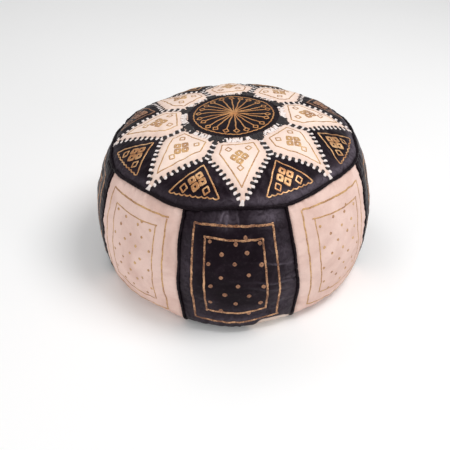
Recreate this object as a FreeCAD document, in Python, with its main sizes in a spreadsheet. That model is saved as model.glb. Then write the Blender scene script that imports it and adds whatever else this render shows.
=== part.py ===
"""Moroccan leather pouf: a star-topped leather cover over a lined, stuffed cushion.

Frame: +Z up, origin on the floor under the centre of the pouf, -Y towards the front panel.
Every size is in millimetres and comes from the Dimensions sheet, through expressions.
An offset is a depth under the outer face of the leather, so a negative one lies on top of it.
"""

import FreeCAD
import Part
import Sketcher
import os

# Driving dimensions: alias, value, what it is.
DIMENSIONS = [
    ("star_points", 8, "kites round the star, and panels round the side"),
    ("crown_height", 250, "top of the dome above the floor"),
    ("crown_arc", 621, "radius of the flat middle of the dome"),
    ("shoulder_start", 120, "distance from the axis at which the dome starts to fall away"),
    ("shoulder_arc", 150, "radius of the falling rim of the dome"),
    ("seam_radius", 192, "radius of the seam between top and side"),
    ("seam_height", 202, "height of that seam"),
    ("belly_radius", 225, "widest radius of the side"),
    ("belly_height", 80, "height of the widest place"),
    ("upper_arc", 238.6, "radius of the side above the belly"),
    ("lower_arc", 291, "radius of the side below the belly"),
    ("floor_arc", 22, "radius where the side turns under onto the floor"),
    ("base_radius", 165, "radius of the seam between side and base"),
    ("leather", 1.4, "thickness of the cover leather"),
    ("seam_gap", 2.9, "distance by which leather stops short of the top seam"),
    ("edge_gap", 0.3, "distance by which a piece of the star stops short of its seam line"),
    ("panel_gap", 1.5, "angle left between two side panels for their welt, in degrees"),
    ("star_turn", 2.5, "angle of the star against the side panels, in degrees"),
    ("medallion_radius", 76, "radius of the round black centre"),
    ("kite_start", 80.5, "radius of the inner edge of a kite"),
    ("kite_shoulder", 120, "radius of the widest place of a kite"),
    ("kite_tip", 189, "radius of the point of a kite"),
    ("lace_width", 4.4, "width of the laced edging over a seam of the star"),
    ("lace_inner", -0.15, "offset of the underside of the lacing"),
    ("lace_outer", -1.15, "offset of the top of the lacing"),
    ("gilt_inner", -0.05, "offset of the underside of the gilding"),
    ("gilt_outer", -0.35, "offset of the top of the gilding"),
    ("gilt_width", 2, "width of a gilded line"),
    ("backing_outer", 1.6, "offset of the top of the cloth behind the star"),
    ("backing_inner", 2.0, "offset of its underside"),
    ("lining_outer", 2.3, "offset of the outside of the lining bag"),
    ("lining_inner", 2.9, "offset of its inside"),
    ("lining_rise", 12.7, "height of the underside of the lining over the zip"),
    ("stuffing_outer", 3.2, "offset of the outside of the stuffing"),
    ("bag_lip", 142, "radius at which the floor of a bag starts to rise over the zip"),
    ("welt_radius", 2.2, "radius of a side welt"),
    ("welt_proud", 1.0, "height of the middle of a side welt above the leather"),
    ("welt_end", 5, "height of the foot of a side welt"),
    ("ring_radius", 2.6, "radius of the welt round the top seam"),
    ("ring_proud", 0.6, "shift of that welt outwards and upwards from the seam"),
    ("recess_outer", 128, "radius at which the base starts to rise clear of the floor"),
    ("recess_inner", 105, "radius inside which the base is level again"),
    ("recess_depth", 7.5, "height of the raised middle of the base"),
    ("base_seam", 0.4, "gap between the two halves of the base beside the zip"),
    ("slot_length", 206, "length of the opening for the zip"),
    ("slot_width", 14, "width of that opening"),
    ("zip_height", 9.4, "height of the middle of the zip tapes"),
    ("zip_length", 184, "length of the rows of teeth"),
    ("zip_slit", 1.6, "distance between the two rows of teeth"),
    ("tape_length", 220, "length of a zip tape"),
    ("tape_width", 15, "width of a zip tape"),
    ("tape_thickness", 0.6, "thickness of a zip tape"),
    ("tape_gap", 0.05, "gap between a tape and the cord beside it"),
    ("tooth_reach", 2, "reach of a tooth out of its cord"),
    ("tooth_length", 1.5, "size of a tooth along the zip"),
    ("tooth_pitch", 2.5, "distance from tooth to tooth"),
    ("tooth_height", 2, "height of a tooth"),
    ("cord_width", 1, "width of the cord that carries a row of teeth"),
    ("stop_length", 3, "length of a stop at the end of the zip"),
    ("slider_place", 84, "place of the slider along X when the zip is shut"),
    ("slider_length", 11, "length of the slider"),
    ("slider_width", 10.4, "width of the slider"),
    ("plate_thickness", 1.2, "thickness of each plate of the slider"),
    ("plate_gap", 1.4, "height of each plate of the slider off the middle of the zip"),
    ("post_width", 1, "width of the post between the plates"),
    ("post_length", 3, "length of that post"),
    ("bail_length", 7.2, "length of the bail that holds the pull"),
    ("bail_width", 1.6, "width of the bail"),
    ("bail_height", 2.9, "height of the bail under the outer plate"),
    ("bail_bar", 0.9, "thickness of the bail"),
    ("pull_thickness", 1.2, "thickness of the pull"),
    ("pull_reach", 20, "length of the pull from its cross bar"),
    ("pull_width", 7, "width of the pull"),
    ("eye_width", 3.6, "width of the eye in the pull"),
    ("eye_reach", 5.2, "distance from the cross bar to the far end of the eye"),
    ("medallion_gilt", 62, "radius of the gilded ring on the medallion"),
    ("kite_gilt_start", 88, "distance from the axis to the gilding of a kite"),
    ("kite_gilt_gap", 14, "margin between a kite's gilding and its edges"),
    ("gusset_gilt_point", 132, "distance from the axis to the point of a gusset's gilding"),
    ("gusset_gilt_base", 175, "distance from the axis to its base"),
    ("gusset_gilt_half", 37, "half the width of its base"),
    ("panel_gilt_top", 183, "height of the top of a side panel's gilding"),
    ("panel_gilt_foot", 22, "height of its foot"),
    ("panel_gilt_half", 60, "half its width"),
    ("panel_gilt_step", 16.5, "distance from the outer frame to the inner one"),
]

SHEET = "Dimensions"
ROOM = 300  # half the size of a cutting sketch, well outside the pouf
HORIZONTAL = -1  # a sketch's own axes
VERTICAL = -2

doc = FreeCAD.newDocument("pouf")


def cell(alias):
    """The expression that names a cell of the sheet."""
    return f"{SHEET}.{alias}"


def expand(text):
    """Spells out an expression in which {alias} stands for a cell."""
    names = {alias: cell(alias) for alias, _, _ in DIMENSIONS}
    return text.format(**names)


def value(text):
    """What such an expression comes to."""
    result = doc.getObject(SHEET).evalExpression(expand(text))
    return float(getattr(result, "Value", result))


def make_sheet():
    sheet = doc.addObject("Spreadsheet::Sheet", SHEET)
    for row, (alias, size, meaning) in enumerate(DIMENSIONS, start=1):
        sheet.set(f"A{row}", meaning)
        sheet.set(f"B{row}", str(size))
        sheet.setAlias(f"B{row}", alias)
    doc.recompute()


# ---------------------------------------------------------------- sketches


def new_body(label, turn=None):
    """A body, turned about the Z axis by the angle that turn says, in degrees."""
    body = doc.addObject("PartDesign::Body", label)
    body.Label = label
    if turn is not None:
        body.setExpression("Placement.Rotation.Angle", expand(f"({turn}) * 1deg"))
    return body


def new_sketch(body, name, role, height=None):
    """A sketch on one of the body's own origin planes, lifted off it by height."""
    plane = next(f for f in body.Origin.OriginFeatures if f.Role == role)
    sketch = body.newObject("Sketcher::SketchObject", f"{body.Name}_{name}")
    sketch.AttachmentSupport = [(plane, "")]
    sketch.MapMode = "FlatFace"
    if height is not None:
        sketch.setExpression("AttachmentOffset.Base.z", expand(height))
    return sketch


def pin(sketch, kind, where, text):
    """Holds a size of the sketch to an expression."""
    index = sketch.addConstraint(Sketcher.Constraint(kind, *where, value(text)))
    sketch.setExpression(f"Constraints[{index}]", expand(text))


def pin_point(sketch, geometry, end, x=None, y=None):
    """Holds a point's coordinates to expressions. "0" is a place on the sketch's own axis."""
    for kind, axis, text in (("DistanceX", VERTICAL, x), ("DistanceY", HORIZONTAL, y)):
        if text == "0":
            sketch.addConstraint(Sketcher.Constraint("PointOnObject", geometry, end, axis))
        elif text is not None:
            pin(sketch, kind, (-1, 1, geometry, end), text)


def join(sketch, kind, first, second):
    sketch.addConstraint(Sketcher.Constraint(kind, *first, *second))


def polygon(sketch, corners):
    """A closed outline whose corners are pairs of expressions."""
    points = [FreeCAD.Vector(value(x), value(y), 0) for x, y in corners]
    first = sketch.GeometryCount
    count = len(points)
    for i, point in enumerate(points):
        sketch.addGeometry(Part.LineSegment(point, points[(i + 1) % count]), False)
    for i, (x, y) in enumerate(corners):
        before = first + (i - 1) % count
        join(sketch, "Coincident", (before, 2), (first + i, 1))
        pin_point(sketch, first + i, 1, x, y)


def rectangle(sketch, x0, x1, y0, y1):
    polygon(sketch, [(x0, y0), (x1, y0), (x1, y1), (x0, y1)])


def arc(sketch, centre, radius, start, end):
    """An arc round centre from start to end, anticlockwise. Returns its number."""
    middle = FreeCAD.Vector(*centre, 0)
    angles = [FreeCAD.Vector(1, 0, 0).getAngle(FreeCAD.Vector(*p, 0) - middle) for p in (start, end)]
    signs = [1 if p[1] >= centre[1] else -1 for p in (start, end)]
    circle = Part.Circle(middle, FreeCAD.Vector(0, 0, 1), radius)
    return sketch.addGeometry(Part.ArcOfCircle(circle, angles[0] * signs[0], angles[1] * signs[1]), False)


def line(sketch, start, end):
    return sketch.addGeometry(Part.LineSegment(FreeCAD.Vector(*start, 0), FreeCAD.Vector(*end, 0)), False)


def point_of(sketch, geometry, end):
    point = sketch.getPoint(geometry, end)
    return point.x, point.y


def close(sketch, first, second):
    """A straight edge between two ends, each given as (geometry, end)."""
    edge = line(sketch, point_of(sketch, *first), point_of(sketch, *second))
    join(sketch, "Coincident", first, (edge, 1))
    join(sketch, "Coincident", second, (edge, 2))
    return edge


# ---------------------------------------------------------------- profiles

DOME_CENTRE = "({crown_height} - {crown_arc})"
SHOULDER_X = "(({crown_arc} - {shoulder_arc}) * {shoulder_start} / {crown_arc})"
FALL = "sqrt({crown_arc} ^ 2 - {shoulder_start} ^ 2) / {crown_arc}"
SHOULDER_Z = f"({DOME_CENTRE} + ({{crown_arc}} - {{shoulder_arc}}) * {FALL})"
LOWER_X = "({belly_radius} - {lower_arc})"
FLOOR_X = (
    f"({LOWER_X} + sqrt(({{lower_arc}} - {{floor_arc}}) ^ 2"
    " - ({belly_height} - {floor_arc}) ^ 2))"
)


def crown_curve(sketch, depth, start, stop):
    """The flat middle of the dome at an offset. Returns its ends, the inner one first."""
    centre_z, radius = value(DOME_CENTRE), value(f"{{crown_arc}} - ({depth})")
    points = [(x, centre_z + (radius**2 - x**2) ** 0.5) for x in (value(stop), value(start))]
    curve = arc(sketch, (0, centre_z), radius, *points)
    pin_point(sketch, curve, 3, "0", DOME_CENTRE)
    pin(sketch, "Radius", (curve,), f"{{crown_arc}} - ({depth})")
    pin_point(sketch, curve, 1, x=stop)
    pin_point(sketch, curve, 2, x=start)
    return (curve, 2), (curve, 1)


def dome_curve(sketch, depth, start, stop):
    """The outline of the dome at an offset, between two radii of its outer face.

    Returns its two ends, the one nearer the axis first.
    """
    crown_radius = f"({{crown_arc}} - ({depth}))"
    shoulder_radius = f"({{shoulder_arc}} - ({depth}))"
    turn_x = f"({crown_radius} * {{shoulder_start}} / {{crown_arc}})"
    start_x = f"({crown_radius} * ({start}) / {{crown_arc}})"
    stop_x = f"({SHOULDER_X} + {shoulder_radius} * (({stop}) - {SHOULDER_X}) / {{shoulder_arc}})"

    centre_z, radius = value(DOME_CENTRE), value(crown_radius)
    rise = lambda x: centre_z + (radius**2 - x**2) ** 0.5
    turn, first_x, last_x = value(turn_x), value(start_x), value(stop_x)
    crown = arc(sketch, (0, centre_z), radius, (turn, rise(turn)), (first_x, rise(first_x)))
    middle = (value(SHOULDER_X), value(SHOULDER_Z))
    reach = value(shoulder_radius)
    last = (last_x, middle[1] + (reach**2 - (last_x - middle[0]) ** 2) ** 0.5)
    rim = arc(sketch, middle, reach, last, (turn, rise(turn)))

    pin_point(sketch, crown, 3, "0", DOME_CENTRE)
    pin(sketch, "Radius", (crown,), crown_radius)
    join(sketch, "Tangent", (crown, 1), (rim, 2))
    pin_point(sketch, crown, 1, x=turn_x)
    pin_point(sketch, crown, 2, x=start_x)
    pin(sketch, "Radius", (rim,), shoulder_radius)
    pin_point(sketch, rim, 1, x=stop_x)
    return (crown, 2), (rim, 1)


def side_curve(sketch, depth, stop, foot=None):
    """The outline of the side at an offset, from the height stop of its outer face down.

    It runs along the floor to the radius foot. Returns its two ends, the upper one first.
    """
    radii = [f"({{{name}}} - ({depth}))" for name in ("upper_arc", "lower_arc", "floor_arc")]
    top_z = f"({{belly_height}} + {radii[0]} * (({stop}) - {{belly_height}}) / {{upper_arc}})"

    belly = value("{belly_height}")
    upper_x, lower_x = value("{belly_radius} - {upper_arc}"), value(LOWER_X)
    sizes = [value(r) for r in radii]
    widest = (upper_x + sizes[0], belly)
    top = (upper_x + (sizes[0] ** 2 - (value(top_z) - belly) ** 2) ** 0.5, value(top_z))
    floor_centre = FreeCAD.Vector(value(FLOOR_X), value("{floor_arc}"), 0)
    lower_centre = FreeCAD.Vector(lower_x, belly, 0)
    away = (floor_centre - lower_centre).normalize()
    low = lower_centre + away * sizes[1]
    landing = (floor_centre.x, value(depth))

    upper = arc(sketch, (upper_x, belly), sizes[0], widest, top)
    lower = arc(sketch, (lower_x, belly), sizes[1], (low.x, low.y), (lower_x + sizes[1], belly))
    floor = arc(sketch, (floor_centre.x, floor_centre.y), sizes[2], landing, (low.x, low.y))
    flat = line(sketch, landing, (value(foot), landing[1]))

    pin_point(sketch, upper, 3, "{belly_radius} - {upper_arc}", "{belly_height}")
    pin(sketch, "Radius", (upper,), radii[0])
    pin_point(sketch, upper, 1, y="{belly_height}")
    pin_point(sketch, upper, 2, y=top_z)
    join(sketch, "Tangent", (upper, 1), (lower, 2))
    pin(sketch, "Radius", (lower,), radii[1])
    join(sketch, "Tangent", (lower, 1), (floor, 2))
    pin(sketch, "Radius", (floor,), radii[2])
    join(sketch, "Tangent", (floor, 1), (flat, 1))
    sketch.addConstraint(Sketcher.Constraint("Horizontal", flat))
    pin_point(sketch, flat, 2, foot, depth)
    return (upper, 2), (flat, 2)


# ---------------------------------------------------------------- features


def revolve(body, sketch, angle=None):
    """Turns a profile about the Z axis, all the way or by an angle shared either side."""
    feature = body.newObject("PartDesign::Revolution", f"{body.Name}_turned")
    feature.Profile = sketch
    feature.ReferenceAxis = (sketch, ["V_Axis"])
    if angle is None:
        feature.Angle = 360
    else:
        feature.Midplane = True
        feature.setExpression("Angle", expand(f"({angle}) * 1deg"))


def pad(body, sketch, length, name="pad"):
    """Thickens a sketch by length, half of it each way."""
    feature = body.newObject("PartDesign::Pad", f"{body.Name}_{name}")
    feature.Profile = sketch
    feature.SideType = "Symmetric"
    feature.setExpression("Length", expand(length))
    return feature


def keep_only(body, outlines, role="XY_Plane"):
    """Cuts away all that lies outside the first outline, and inside any further one."""
    sketch = new_sketch(body, "outline", role)
    rectangle(sketch, f"-{ROOM}", f"{ROOM}", f"-{ROOM}", f"{ROOM}")
    for corners in outlines:
        polygon(sketch, corners)
    feature = body.newObject("PartDesign::Pocket", f"{body.Name}_cut")
    feature.Profile = sketch
    feature.Type = "ThroughAll"
    feature.SideType = "Symmetric"


def close_shell(sketch, first, second):
    """Joins the ends of two curves of the same piece."""
    close(sketch, first[0], second[0])
    close(sketch, first[1], second[1])


def crown_piece(label, inner, outer, start, stop):
    """A disc or a ring of the flat middle of the dome, between two offsets."""
    body = new_body(label)
    profile = new_sketch(body, "profile", "XZ_Plane")
    ends = [crown_curve(profile, depth, start, stop) for depth in (inner, outer)]
    close_shell(profile, *ends)
    revolve(body, profile)
    return body


def dome_piece(label, inner, outer, start, stop, outlines, turn):
    """A piece of the dome between two offsets and two radii, cut to outlines."""
    body = new_body(label, turn)
    profile = new_sketch(body, "profile", "XZ_Plane")
    ends = [dome_curve(profile, depth, start, stop) for depth in (inner, outer)]
    close_shell(profile, *ends)
    revolve(body, profile, SECTOR)
    keep_only(body, outlines)
    return body


def side_piece(label, inner, outer, angle, turn):
    """A piece of the side between two offsets, from the top seam to the base seam."""
    body = new_body(label, turn)
    profile = new_sketch(body, "profile", "XZ_Plane")
    stop = "({seam_height} - {seam_gap})"
    ends = [side_curve(profile, depth, stop, "{base_radius}") for depth in (inner, outer)]
    close_shell(profile, *ends)
    revolve(body, profile, angle)
    return body


# ---------------------------------------------------------------- places round the pouf

STEP = "360 / {star_points}"
HALF_STEP = "(180deg / {star_points})"
FRONT = "-90"  # a profile lies along +X, and the front of the pouf is -Y


def round_the_pouf():
    return range(int(value("{star_points}")))


def panel_turn(i):
    return f"{FRONT} + {i} * {STEP}"


def star_turn(i):
    return f"{FRONT} + {{star_turn}} + {i} * {STEP}"


def between(turn):
    """Half a step on from turn, where two neighbours meet."""
    return f"{turn} + {STEP} / 2"


def group(label, bodies):
    """Separate solids of one kind in one node."""
    compound = doc.addObject("Part::Compound", label)
    compound.Label = label
    compound.Links = bodies
    return compound


# ---------------------------------------------------------------- the star

SHOULDER_ALONG = f"({{kite_shoulder}} * cos{HALF_STEP})"
SHOULDER_ACROSS = f"({{kite_shoulder}} * sin{HALF_STEP})"
TIP_ALONG = f"({{kite_tip}} * cos{HALF_STEP})"
TIP_ACROSS = f"({{kite_tip}} * sin{HALF_STEP})"
# Seen from between two kites, an edge runs from the shoulder they share to one kite's tip.
EDGE_RUN = f"({TIP_ALONG} - {{kite_shoulder}})"
EDGE_LENGTH = f"sqrt({EDGE_RUN} ^ 2 + {TIP_ACROSS} ^ 2)"
# How far a corner of a kite moves in when both edges at it move in by one.
SHOULDER_MITRE, TIP_MITRE = 1.11, 2.0
SECTOR = "50"  # degrees of dome turned for a piece, wider than any of them


def kite_outline(gap, start):
    """A kite along +X from start to its tip, its edges moved in by gap."""
    narrow = f"({SHOULDER_ACROSS} - {SHOULDER_MITRE} * ({gap}))"
    inner = f"({narrow} - ({SHOULDER_ALONG} - ({start})) * tan{HALF_STEP})"
    tip = f"({{kite_tip}} - {TIP_MITRE} * ({gap}))"
    return [
        (start, f"-{inner}"),
        (SHOULDER_ALONG, f"-{narrow}"),
        (tip, "0"),
        (SHOULDER_ALONG, narrow),
        (start, inner),
    ]


def triangle_outline(point, base, half):
    return [(point, "0"), (base, f"-{half}"), (base, half)]


def gusset_outline():
    """A gusset between two kites: its point at their shoulder, its base past the rim."""
    point = f"({{kite_shoulder}} + {{edge_gap}} * {EDGE_LENGTH} / {TIP_ACROSS})"
    base = "({seam_radius} + {ring_radius})"
    return triangle_outline(point, base, f"(({base} - {point}) * {TIP_ACROSS} / {EDGE_RUN})")


def lacing_outline():
    """A Y along +X: a stem between two kites, and an arm along the long edge of each."""
    half = "({lace_width} / 2)"
    lean_x = f"({half} * {TIP_ACROSS} / {EDGE_LENGTH})"
    lean_y = f"({half} * {EDGE_RUN} / {EDGE_LENGTH})"
    end_x = f"({TIP_ALONG} - {{lace_width}} * {EDGE_RUN} / {EDGE_LENGTH})"
    end_y = f"({TIP_ACROSS} - {{lace_width}} * {TIP_ACROSS} / {EDGE_LENGTH})"
    crotch = f"({{kite_shoulder}} + {half} * {EDGE_LENGTH} / {TIP_ACROSS})"
    armpit = f"({{kite_shoulder}} - {half} * ({EDGE_LENGTH} - {EDGE_RUN}) / {TIP_ACROSS})"
    upper = [
        (f"({end_x} + {lean_x})", f"({end_y} - {lean_y})"),
        (f"({end_x} - {lean_x})", f"({end_y} + {lean_y})"),
        (armpit, half),
        ("{kite_start}", half),
    ]
    lower = [(x, f"-{y}") for x, y in reversed(upper)]
    return [(crotch, "0")] + upper + lower


def make_star():
    skin = ("0", "{leather}")
    lacing = ("{lace_inner}", "{lace_outer}")
    start, rim = "{kite_start}", "{seam_radius} - {seam_gap}"
    kite = kite_outline("{edge_gap}", start)
    crown_piece("medallion", *skin, "0", "{medallion_radius}")
    crown_piece("medallion_lacing", *lacing, "{medallion_radius} - 1", "{kite_start} - {edge_gap}")
    for i in round_the_pouf():
        name = i + 1
        dome_piece(f"kite_{name}", *skin, start, rim, [kite], star_turn(i))
        dome_piece(f"gusset_{name}", *skin, start, rim, [gusset_outline()], between(star_turn(i)))
        dome_piece(f"star_lacing_{name}", *lacing, start, rim, [lacing_outline()], between(star_turn(i)))


def make_star_gilding():
    gilt = ("{gilt_inner}", "{gilt_outer}")
    ring = ("{medallion_gilt} - {gilt_width} / 2", "{medallion_gilt} + {gilt_width} / 2")
    crown_piece("medallion_gilding", *gilt, *ring)
    start, rim = "{kite_start}", "{seam_radius} - {seam_gap}"
    gap, width = "{kite_gilt_gap}", "{gilt_width}"
    kite_frame = [
        kite_outline(gap, "{kite_gilt_start}"),
        kite_outline(f"{gap} + {width}", f"{{kite_gilt_start}} + {width}"),
    ]
    point, base, half = "{gusset_gilt_point}", "{gusset_gilt_base}", "{gusset_gilt_half}"
    inset = f"(1.5 * {width})"
    shrunk = f"({half} - {half} * (2 * {inset}) / ({base} - {point}))"
    gusset_frame = [
        triangle_outline(point, base, half),
        triangle_outline(f"({point} + {inset})", f"({base} - {inset} / 2)", shrunk),
    ]
    frames = []
    for i in round_the_pouf():
        frames.append(dome_piece(f"gilt_kite_{i}", *gilt, start, rim, kite_frame, star_turn(i)))
        turn = between(star_turn(i))
        frames.append(dome_piece(f"gilt_gusset_{i}", *gilt, start, rim, gusset_frame, turn))
    group("star_gilding", frames)


# ---------------------------------------------------------------- the side


def path_arc(sketch, centre, radius, start, end, pinned):
    """One arc of a welt's path, its centre held, and one end at a height."""
    curve = arc(sketch, [value(c) for c in centre], value(radius), start, end)
    pin_point(sketch, curve, 3, *centre)
    end_number, height = pinned
    pin_point(sketch, curve, end_number, y=height)
    return curve


def sweep(body, circle, path, name):
    feature = body.newObject("PartDesign::AdditivePipe", f"{body.Name}_{name}")
    feature.Profile = circle
    feature.Spine = path


def side_welt(label, turn):
    """A covered cord down the seam between two side panels, swept from the belly both ways."""
    body = new_body(label, turn)
    belly = value("{belly_height}")
    section = new_sketch(body, "section", "XY_Plane", "{belly_height}")
    middle = ("{belly_radius} + {welt_proud}", "0")
    ring = Part.Circle(FreeCAD.Vector(value(middle[0]), 0, 0), FreeCAD.Vector(0, 0, 1), 1)
    section.addGeometry(ring, False)
    pin(section, "Radius", (0,), "{welt_radius}")
    pin_point(section, 0, 3, *middle)

    stop, radius = "({seam_height} - {seam_gap})", "({upper_arc} + {welt_proud})"
    centre = ("({belly_radius} - {upper_arc})", "{belly_height}")
    x, reach, rise = value(centre[0]), value(radius), value(stop) - belly
    up = new_sketch(body, "up", "XZ_Plane")
    top = (x + (reach**2 - rise**2) ** 0.5, belly + rise)
    curve = path_arc(up, centre, radius, (x + reach, belly), top, (2, stop))
    pin(up, "Radius", (curve,), radius)
    pin_point(up, curve, 1, y="{belly_height}")
    sweep(body, section, up, "rise")

    radius, small = "({lower_arc} + {welt_proud})", "({floor_arc} + {welt_proud})"
    x, reach = value(LOWER_X), value(radius)
    corner = FreeCAD.Vector(value(FLOOR_X), value("{floor_arc}"), 0)
    away = (corner - FreeCAD.Vector(x, belly, 0)).normalize()
    low = (x + away.x * reach, belly + away.y * reach)
    drop = value("{welt_end}") - corner.y
    foot = (corner.x + (value(small) ** 2 - drop**2) ** 0.5, corner.y + drop)
    down = new_sketch(body, "down", "XZ_Plane")
    middle = (LOWER_X, "{belly_height}")
    side = path_arc(down, middle, radius, low, (x + reach, belly), (2, "{belly_height}"))
    pin(down, "Radius", (side,), radius)
    under = path_arc(down, (FLOOR_X, "{floor_arc}"), small, foot, low, (1, "{welt_end}"))
    join(down, "Tangent", (side, 1), (under, 2))
    sweep(body, section, down, "fall")


def make_side():
    for i in round_the_pouf():
        turn = panel_turn(i)
        side_piece(f"side_panel_{i + 1}", "0", "{leather}", f"{STEP} - {{panel_gap}}", turn)
        side_welt(f"side_welt_{i + 1}", between(turn))


def make_top_welt():
    """The covered cord all round the seam between the top and the side."""
    welt = doc.addObject("Part::Torus", "top_welt")
    welt.Label = "top_welt"
    welt.setExpression("Radius1", expand("({seam_radius} + {ring_proud}) * 1mm"))
    welt.setExpression("Radius2", expand("{ring_radius} * 1mm"))
    welt.setExpression("Placement.Base.z", expand("{seam_height} + {ring_proud}"))


def frame_outline(inset):
    """A rectangle on the front of a side panel, its edges moved in by inset."""
    half = f"({{panel_gilt_half}} - ({inset}))"
    foot, top = f"({{panel_gilt_foot}} + ({inset}))", f"({{panel_gilt_top}} - ({inset}))"
    return [(f"-{half}", foot), (half, foot), (half, top), (f"-{half}", top)]


def make_panel_gilding():
    """Two frames, one inside the other, on each side panel."""
    frames = []
    for i in round_the_pouf():
        for name, inset in (("outer", "0"), ("inner", "{panel_gilt_step}")):
            label = f"gilt_{name}_{i}"
            body = side_piece(label, "{gilt_inner}", "{gilt_outer}", STEP, panel_turn(i))
            outlines = [frame_outline(inset), frame_outline(f"{inset} + {{gilt_width}}")]
            keep_only(body, outlines, "YZ_Plane")
            frames.append(body)
    group("panel_gilding", frames)


# ---------------------------------------------------------------- inside and underneath

FRONT_HALF, REAR_HALF = "180", "0"


def bag_profile(sketch, depth, rise):
    """The outline of a bag inside the cover, up to the axis, its floor lifted over the zip."""
    dome = dome_curve(sketch, depth, "0", "({seam_radius} - {seam_gap})")
    side = side_curve(sketch, depth, "({seam_height} - {seam_gap})", "{bag_lip}")
    close(sketch, dome[1], side[0])
    lip = point_of(sketch, *side[1])
    slope = line(sketch, lip, (value("{recess_outer}"), value(rise)))
    join(sketch, "Coincident", side[1], (slope, 1))
    pin_point(sketch, slope, 2, "{recess_outer}", rise)
    level = line(sketch, point_of(sketch, slope, 2), (0, value(rise)))
    join(sketch, "Coincident", (slope, 2), (level, 1))
    sketch.addConstraint(Sketcher.Constraint("Horizontal", level))
    pin_point(sketch, level, 2, x="0")
    return dome[0], (level, 2)


def bag(label, depth, rise):
    """A solid of revolution with the outline of a bag."""
    body = new_body(label)
    profile = new_sketch(body, "profile", "XZ_Plane")
    close(profile, *bag_profile(profile, depth, rise))
    revolve(body, profile)
    return body


def make_filling():
    """The cloth bag, a shell, and the stuffing inside it; the cloth that backs the star."""
    bag("stuffing", "{stuffing_outer}", "({lining_rise} + {stuffing_outer} - {lining_outer})")
    lining = new_body("lining_bag")
    profile = new_sketch(lining, "profile", "XZ_Plane")
    outer = bag_profile(profile, "{lining_outer}", "{lining_rise}")
    inner_rise = "({lining_rise} + {lining_inner} - {lining_outer})"
    inner = bag_profile(profile, "{lining_inner}", inner_rise)
    close_shell(profile, outer, inner)
    revolve(lining, profile)

    backing = new_body("star_backing")
    profile = new_sketch(backing, "profile", "XZ_Plane")
    stop = "({seam_radius} - {seam_gap})"
    depths = ("{backing_outer}", "{backing_inner}")
    close_shell(profile, *[dome_curve(profile, depth, "0", stop) for depth in depths])
    revolve(backing, profile)


def base_half(label, turn):
    """Half of the round base, level on the floor and raised in the middle round the zip."""
    body = new_body(label, turn)
    profile = new_sketch(body, "profile", "XZ_Plane")
    edge, lift = "({base_radius} - {edge_gap})", "({recess_depth} + {leather})"
    polygon(profile, [
        ("{recess_outer}", "0"),
        (edge, "0"),
        (edge, "{leather}"),
        ("{recess_outer}", "{leather}"),
        ("{recess_inner}", lift),
        ("0", lift),
        ("0", "{recess_depth}"),
        ("{recess_inner}", "{recess_depth}"),
    ])
    revolve(body, profile)
    seam, slot, end = "({base_seam} / 2)", "({slot_width} / 2)", "({slot_length} / 2)"
    far = "{seam_radius}"
    outline = [
        (f"-{far}", seam), (f"-{end}", seam), (f"-{end}", slot), (end, slot),
        (end, seam), (far, seam), (far, far), (f"-{far}", far),
    ]
    keep_only(body, [outline])


def make_base():
    base_half("base_front", FRONT_HALF)
    base_half("base_rear", REAR_HALF)


# ---------------------------------------------------------------- the zip

ROW_EDGE = "({zip_slit} / 2)"
CORD_EDGE = f"({ROW_EDGE} + {{tooth_reach}})"
TAPE_EDGE = f"({CORD_EDGE} + {{cord_width}})"


def block(body, name, height, x0, x1, y0, y1, thickness):
    """A rectangular block whose middle is at height."""
    sketch = new_sketch(body, f"{name}_outline", "XY_Plane", height)
    rectangle(sketch, x0, x1, y0, y1)
    return pad(body, sketch, thickness, name)


def zip_tape(label, turn):
    """A woven tape sewn inside the base, its edge held by the cord of the teeth."""
    body = new_body(label, turn)
    half = "({tape_length} / 2)"
    near = f"({TAPE_EDGE} + {{tape_gap}})"
    far = f"({TAPE_EDGE} + {{tape_width}})"
    block(body, "tape", "{zip_height}", f"-{half}", half, near, far, "{tape_thickness}")


def zip_teeth(label, turn, shift):
    """A cord with a row of teeth, the teeth moved along by shift so that the rows interlock."""
    body = new_body(label, turn)
    half = "({zip_length} / 2)"
    block(body, "cord", "{zip_height}", f"-{half}", half, CORD_EDGE, TAPE_EDGE, "{cord_width}")
    first, last = f"({shift} - {half})", f"({shift} - {half} + {{tooth_length}})"
    inside = f"({CORD_EDGE} + {{cord_width}} / 2)"
    tooth = block(body, "tooth", "{zip_height}", first, last, ROW_EDGE, inside, "{tooth_height}")
    row = body.newObject("PartDesign::LinearPattern", f"{body.Name}_row")
    row.Originals = [tooth]
    row.Direction = (tooth.Profile[0], ["H_Axis"])
    row.Mode = "Spacing"
    row.setExpression("Offset", expand("{tooth_pitch} * 1mm"))
    row.setExpression("Occurrences", expand("floor(({zip_length} - {tooth_pitch}) / {tooth_pitch})"))
    body.Tip = row


def zip_stops():
    """A block across both rows at each end of the zip."""
    bodies = []
    for name, turn in (("left", REAR_HALF), ("right", FRONT_HALF)):
        body = new_body(f"stop_{name}", turn)
        start = "({zip_length} / 2 + {edge_gap})"
        end = f"({start} + {{stop_length}})"
        reach = f"({TAPE_EDGE} - {{edge_gap}})"
        block(body, "stop", "{zip_height}", start, end, f"-{reach}", reach, "{tooth_height}")
        bodies.append(body)
    group("zip_stops", bodies)


PLATE_MIDDLE = "({plate_gap} + {plate_thickness} / 2)"
BAIL_ROOM = "({bail_height} - {bail_bar})"
PULL_HEIGHT = "({zip_height} - {plate_gap} - {plate_thickness} - ({bail_height} - {bail_bar}) / 2)"


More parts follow.
